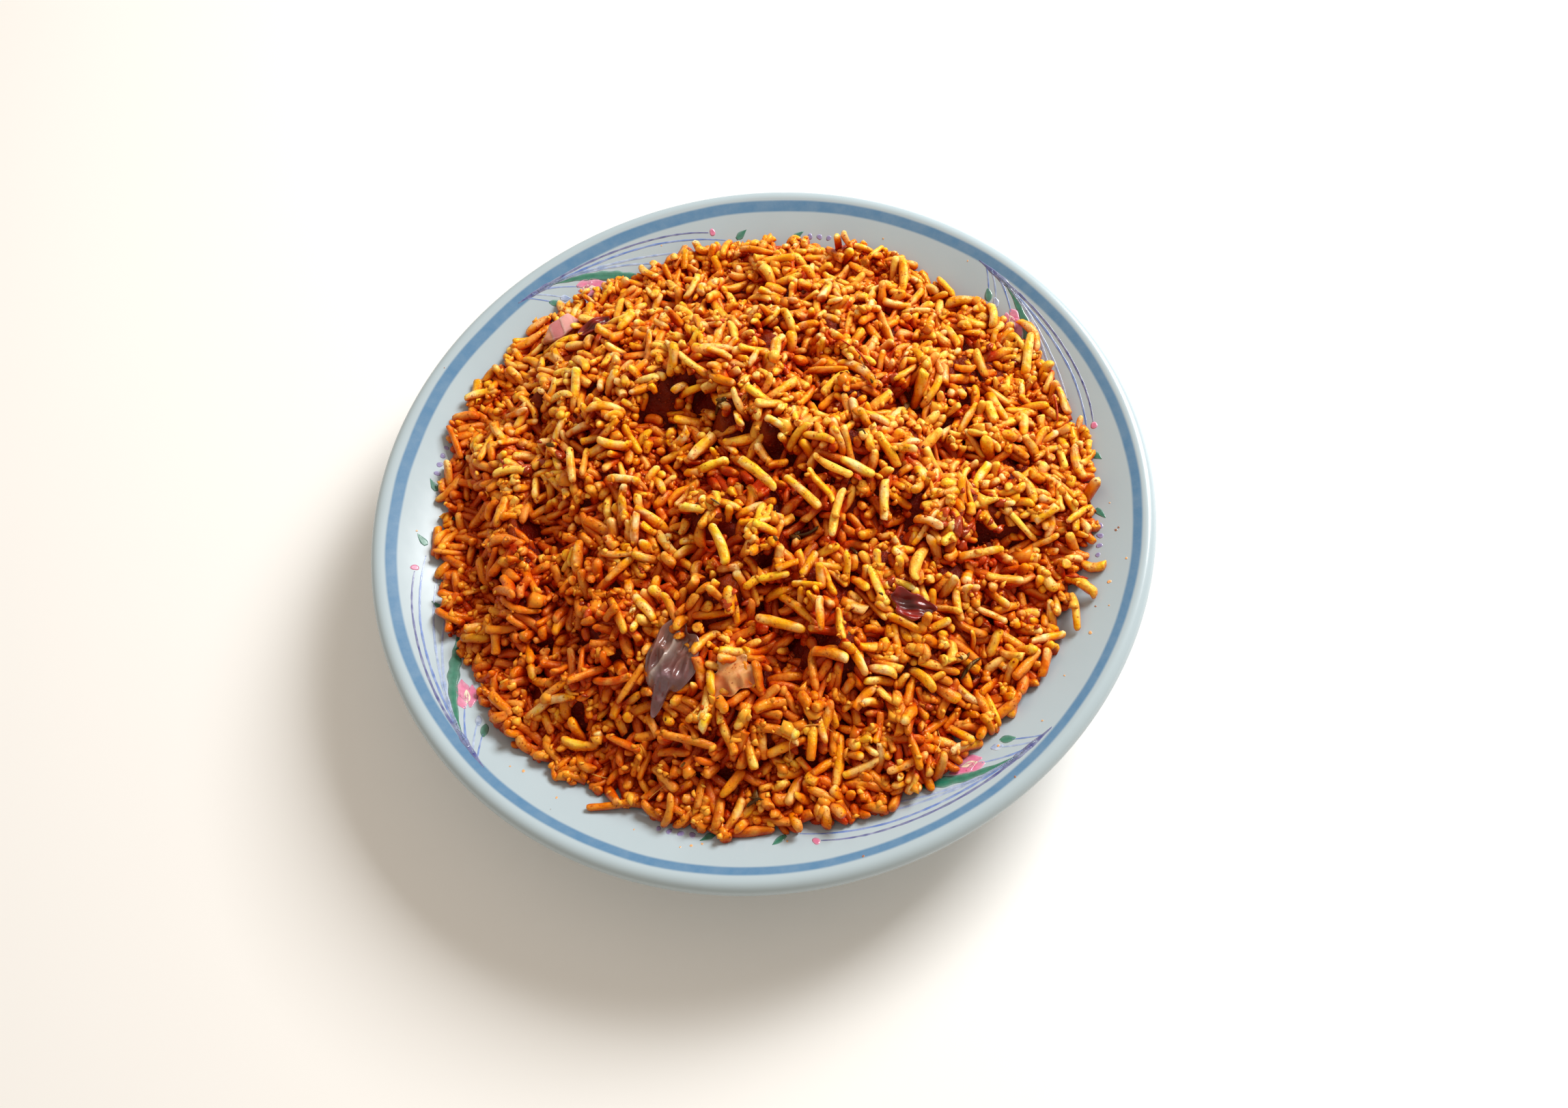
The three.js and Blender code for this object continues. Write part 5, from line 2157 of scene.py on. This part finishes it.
    def patch_places(self, patches: tuple[Patch, ...], sink: float, rng: np.random.Generator) -> Arrays:
        """Draws places and sizes round patches, each bit sunk a little into the grains' tops.

        Args:
            patches: The patches.
            sink: How far each bit lies in the grains, as a share of its size.
            rng: Source of the places and sizes.

        Returns:
            The places and the sizes.
        """
        rows = [(patch.x, patch.y, patch.spread, 0.8 * patch.size) for patch in patches]
        rows = np.repeat(rows, [patch.count for patch in patches], axis=0)
        spots = rows[:, :2] + rng.normal(size=(len(rows), 2)) * rows[:, 2:3] * 0.6
        inside = np.hypot(spots[:, 0], spots[:, 1]) < self.patch_reach
        spots, sizes = spots[inside], rows[inside, 3] * np.exp(rng.normal(0, 0.25, inside.sum()))
        level = self.top.level(spots[:, 0], spots[:, 1]) - sink * sizes
        return np.concatenate((spots, level[:, None]), axis=1), sizes

    def build_patches(self) -> None:
        """Makes soft bits of tomato and pepper, and small dark flakes of dried herb and charred skin."""
        pulp = BitKind("tomato_pulp", (140, 30, 8), (200, 72, 20), (1.25, 0.9, 0.6), 2, 0.65, self.pulp)
        herbs = BitKind("herb_flakes", (48, 26, 10), (104, 62, 22), (1.5, 0.8, 0.22), 2, 0.5, self.herb)
        for seed, kind, patches, sink in ((3, pulp, PULP_PATCHES, 0.75), (4, herbs, HERB_PATCHES, -0.1)):
            rng = np.random.default_rng(SEED + seed)
            self.bits(kind, *self.patch_places(patches, sink, rng), rng)

    def strand_mesh(self, strand: Strand, color: Screen) -> Arrays:
        """Builds a thin round strand that lies over the grains.

        Args:
            strand: The strand.
            color: Its screen colour.

        Returns:
            Vertices, triangles and tints.
        """
        share = np.linspace(-1, 1, 18)
        ahead = heading_of(strand.heading)
        side = np.array((-ahead[1], ahead[0]))
        run = share[:, None] * ahead * strand.length / 2
        spots = np.array((strand.x, strand.y)) + run + ((1 - share**2) * strand.bend)[:, None] * side
        follow = self.top.level(spots[:, 0], spots[:, 1])
        ease = np.convolve(np.pad(follow, 2, mode="edge"), np.ones(5) / 5, mode="valid")
        line = ease.mean() + np.polyfit(share, ease, 1)[0] * share
        level = strand.stiff * line + (1 - strand.stiff) * ease + strand.radius * 0.9 + 0.25
        path = np.concatenate((spots, level[:, None]), axis=1)
        along = unit(np.gradient(path, axis=0))
        out = unit(np.cross(along, (0, 0, 1.0)))
        over = np.cross(out, along)
        rim = full_turn(6)[:, None]
        thick = strand.radius * np.sqrt(np.maximum(0.02, 1 - np.abs(share) ** 3))[:, None, None]
        rings = path[:, None] + thick * (out[:, None] * np.cos(rim) + over[:, None] * np.sin(rim))
        points = rings.reshape(-1, 3)
        return points, capped_triangles(len(share), len(rim)), np.tile(ink(color), (len(points), 1))

    def build_strands(self) -> None:
        """Makes the fibres, strips and husks, one piece of each."""
        for name, color, strands in (
            ("pale_fibres", (226, 168, 84), PALE_FIBRES),
            ("pepper_strips", (170, 34, 8), PEPPER_STRIPS),
            ("dark_husks", (58, 34, 18), DARK_HUSKS),
        ):
            mesh = joined([self.strand_mesh(strand, color) for strand in strands])
            finish = FoodFinish(name, roughness=0.35, coat=0.2, fleck_share=0.1)
            dress(name, mesh, finish.material(), "cooked_rice")

    def build(self) -> None:
        """Makes all the seasoning."""
        self.build_crumbs()
        self.build_patches()
        self.build_strands()


@dataclass(frozen=True)
class WallSpot:
    """A small stain on the glaze: direction in degrees, distance from the middle and radius."""

    angle: float
    radius: float
    size: float


OIL_SPOTS = tuple(WallSpot(*row) for row in (
    (-30, 95, 0.5), (-26, 98, 0.3), (-39, 94.4, 0.45), (-55, 95.8, 0.25), (-62, 92.2, 0.35),
    (-111, 94, 0.35), (-112.5, 94.8, 0.22), (-109.5, 93.2, 0.28), (-140, 93, 0.4), (-142, 94.2, 0.22),
    (-133, 93.7, 0.3), (54, 94, 0.25), (38, 97, 0.22), (-16, 93.6, 0.2), (-34, 96.4, 0.2),
    (-47, 93.6, 0.22), (-120, 93.1, 0.2), (-97, 92.6, 0.25), (171, 93.4, 0.25), (96, 93.6, 0.2),
))
BROWN_SPOTS = tuple(WallSpot(*row) for row in (
    (-21, 95, 0.35), (-20.6, 95.6, 0.28), (-34.4, 93.4, 0.25), (-87, 100.4, 0.3),
    (-64, 100.9, 0.28), (141, 101.4, 0.22), (146, 102.0, 0.2), (60, 101.6, 0.16),
))


@dataclass
class WallSpots:
    """Stains of oil and specks of spice on the glaze, as thin films."""

    dish: DishForm
    film: float = 0.05
    sunk: float = 0.1
    thin: Screen = (226, 214, 190)

    def build(self) -> None:
        """Makes the orange spots and the brown ones."""
        for name, color, spots in (
            ("oil_spots", (226, 158, 84), OIL_SPOTS),
            ("spice_specks", (132, 52, 22), BROWN_SPOTS),
        ):
            parts = []
            for spot in spots:
                points, triangles, share = self.dish.film_disc(
                    spot.angle, spot.radius, spot.size, self.film, self.sunk)
                parts.append((points, triangles, blend_rows(0.35 * share, color, self.thin)))
            dress(name, joined(parts), PaintFinish(name, roughness=0.25).material(), "cooked_rice")


# Studio

@dataclass(frozen=True)
class Lamp:
    """One soft square light: its way from the heap, distance and side in metres, watts and linear colour."""

    name: str
    way: tuple[float, float, float]
    reach: float
    side: float
    power: float
    color: tuple[float, float, float]

    def build(self) -> None:
        """Adds the light, facing the heap."""
        data = bpy.data.lights.new(self.name, "AREA")
        data.shape = "SQUARE"
        data.size = self.side
        data.energy = self.power
        data.color = self.color
        light = bpy.data.objects.new(self.name, data)
        stand = Vector(self.way).normalized()
        light.location = stand * self.reach + Vector((0, 0, 0.04))
        light.rotation_euler = stand.to_track_quat("Z", "Y").to_euler()
        bpy.context.scene.collection.objects.link(light)


@dataclass(frozen=True)
class Studio:
    """Pale floor, soft lights and the camera."""

    picture_width: int = 2296
    focal_pixels: float = 1752.7
    sensor_width: float = 36.0
    distance: float = 320.0
    elevation_degrees: float = 60.484
    roll_degrees: float = -11.874
    aim_right: float = 0.01306
    aim_up: float = -0.05703
    floor_size: float = 6.0
    glow_color: Color = (1.0, 0.86, 0.7, 1.0)
    glow: float = 0.5
    lamps: tuple[Lamp, ...] = (
        Lamp("window", (0.68, 0.40, 0.62), 0.9, 0.38, 10.9, (1.0, 1.0, 0.99)),
        Lamp("overhead", (-0.2, 0.1, 1.0), 1.2, 1.2, 0.9, (0.95, 0.98, 1.0)),
    )

    def build_floor(self) -> None:
        """Makes the plain floor that the dish stands on."""
        half = self.floor_size / 2 / MM
        points = np.array([(-half, -half, 0), (half, -half, 0), (half, half, 0), (-half, half, 0)], float)
        floor = mesh_piece("floor", points, np.array([(0, 1, 2), (0, 2, 3)]), smooth=False)
        material, build = start_material("floor_paper")
        noise = build.noise(build.add("TexCoord").outputs["Object"], 3.0)
        color = build.mix(noise, linear(247, 247, 247), linear(251, 251, 250))
        build.principled({"Base Color": color, "Roughness": 0.9})
        floor.data.materials.append(material)

    def build_lights(self) -> None:
        """Adds the lamps and the pale surroundings."""
        for lamp in self.lamps:
            lamp.build()
        world = bpy.data.worlds.new("surroundings")
        world.use_nodes = True
        build = ShaderBuilder(world.node_tree)
        glow = build.add("Background", {"Color": self.glow_color, "Strength": self.glow})
        build.add("OutputWorld", {"Surface": glow.outputs[0]})
        bpy.context.scene.world = world
        bpy.context.scene.view_settings.view_transform = "Standard"

    def build_camera(self, dish: DishForm) -> None:
        """Places the camera where the photograph was taken from.

        Args:
            dish: The dish, whose rim the camera's distance is counted from.
        """
        lift = math.radians(self.elevation_degrees)
        back = Vector((0, -math.cos(lift), math.sin(lift)))
        eye = Vector((0, 0, dish.height)) + back * self.distance
        right = Vector((1, 0, 0))
        up = right.cross(-back)
        look = (-back + self.aim_right * right + self.aim_up * up).normalized()
        level_right = look.cross(Vector((0, 0, 1))).normalized()
        level_up = level_right.cross(look)
        roll = math.radians(self.roll_degrees)
        right = math.cos(roll) * level_right + math.sin(roll) * level_up
        data = bpy.data.cameras.new("camera")
        data.sensor_width = self.sensor_width
        data.lens = self.focal_pixels / self.picture_width * self.sensor_width
        data.clip_start = 0.01
        camera = bpy.data.objects.new("camera", data)
        turn = Matrix((right, right.cross(look), -look)).transposed()
        camera.matrix_world = Matrix.Translation(eye * MM) @ turn.to_4x4()
        bpy.context.scene.collection.objects.link(camera)
        bpy.context.scene.camera = camera


def build_cut_pieces(heap: HeapForm) -> None:
    """Makes the pieces of onion and pepper that lie on the heap.

    Args:
        heap: The heap.
    """
    onion = FoodFinish(
        "onion_flesh", roughness=0.16, scatter=0.45, scatter_depth=(1.0, 0.6, 0.5), scatter_scale=0.002,
        coat=0.6, coat_roughness=0.05, gloss_tint=(1.0, 1.0, 1.0, 1.0), pool_stain=0.15, side_stain_and_shade=0.0,
        fleck_share=0.06, mottle=0.12, bump=0.15, transmission=0.5)
    chunk = replace(onion, name="onion_chunk", roughness=0.3, coat=0.25, transmission=0.1)
    stained = replace(
        chunk, name="onion_stained", roughness=0.34, coat=0.3, fleck_share=0.3, pool_stain=0.5)
    pepper = replace(
        onion, name="pepper_flesh", roughness=0.34, coat=0.25, scatter=0.15,
        scatter_depth=(1.0, 0.1, 0.05), transmission=0.0)
    brown = replace(pepper, name="pepper_brown")
    front_petal, back_chunk, front_layer, right_skin, back_skin = CUT_FORMS
    OnionPetal(front_petal, heap, "onion", onion, thickness=0.4, ragged=0.04).build()
    OnionChunk(back_chunk, heap, "onion", chunk, rings=32, steps=96, thickness=4.0, ragged=0.03).build()
    OnionLayer(front_layer, heap, "onion", stained, thickness=0.8, ragged=0.2).build()
    PepperSkin(right_skin, heap, "pepper_skin", pepper, thickness=0.5, ragged=0.14).build()
    PepperSkin(back_skin, heap, "pepper_skin", brown, thickness=0.5).build()


def main() -> None:
    """Builds every piece in order and reports each one."""
    logging.basicConfig(level=logging.INFO, format="%(name)s: %(message)s", stream=sys.stdout)
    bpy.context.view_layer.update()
    dish_form = DishForm()
    heap_form = HeapForm(dish_form)
    studio = Studio()
    studio.build_camera(dish_form)
    studio.build_lights()
    studio.build_floor()
    Dish(dish_form).build()
    PaintedSprays(dish_form).build()
    WallSpots(dish_form).build()
    pile = GrainPile(heap_form, dish_form)
    pile.scatter(np.random.default_rng(SEED))
    pile.settle(np.concatenate([form.blocks(heap_form) for form in CUT_FORMS]))
    pile.clear(CUT_FORMS)
    LOG.info("pile settled: %d grains", pile.count)
    top = PileTop(pile)
    rice = RiceHeap(heap_form, dish_form, pile, top)
    rice.build_core()
    rice.build_grains()
    build_cut_pieces(heap_form)
    Seasoning(pile, top).build()
    every = [len(thing.data.polygons) for thing in bpy.data.objects if thing.type == "MESH"]
    LOG.info("all: %d meshes, %d triangles", len(every), sum(every))


if __name__ == "__main__":
    main()
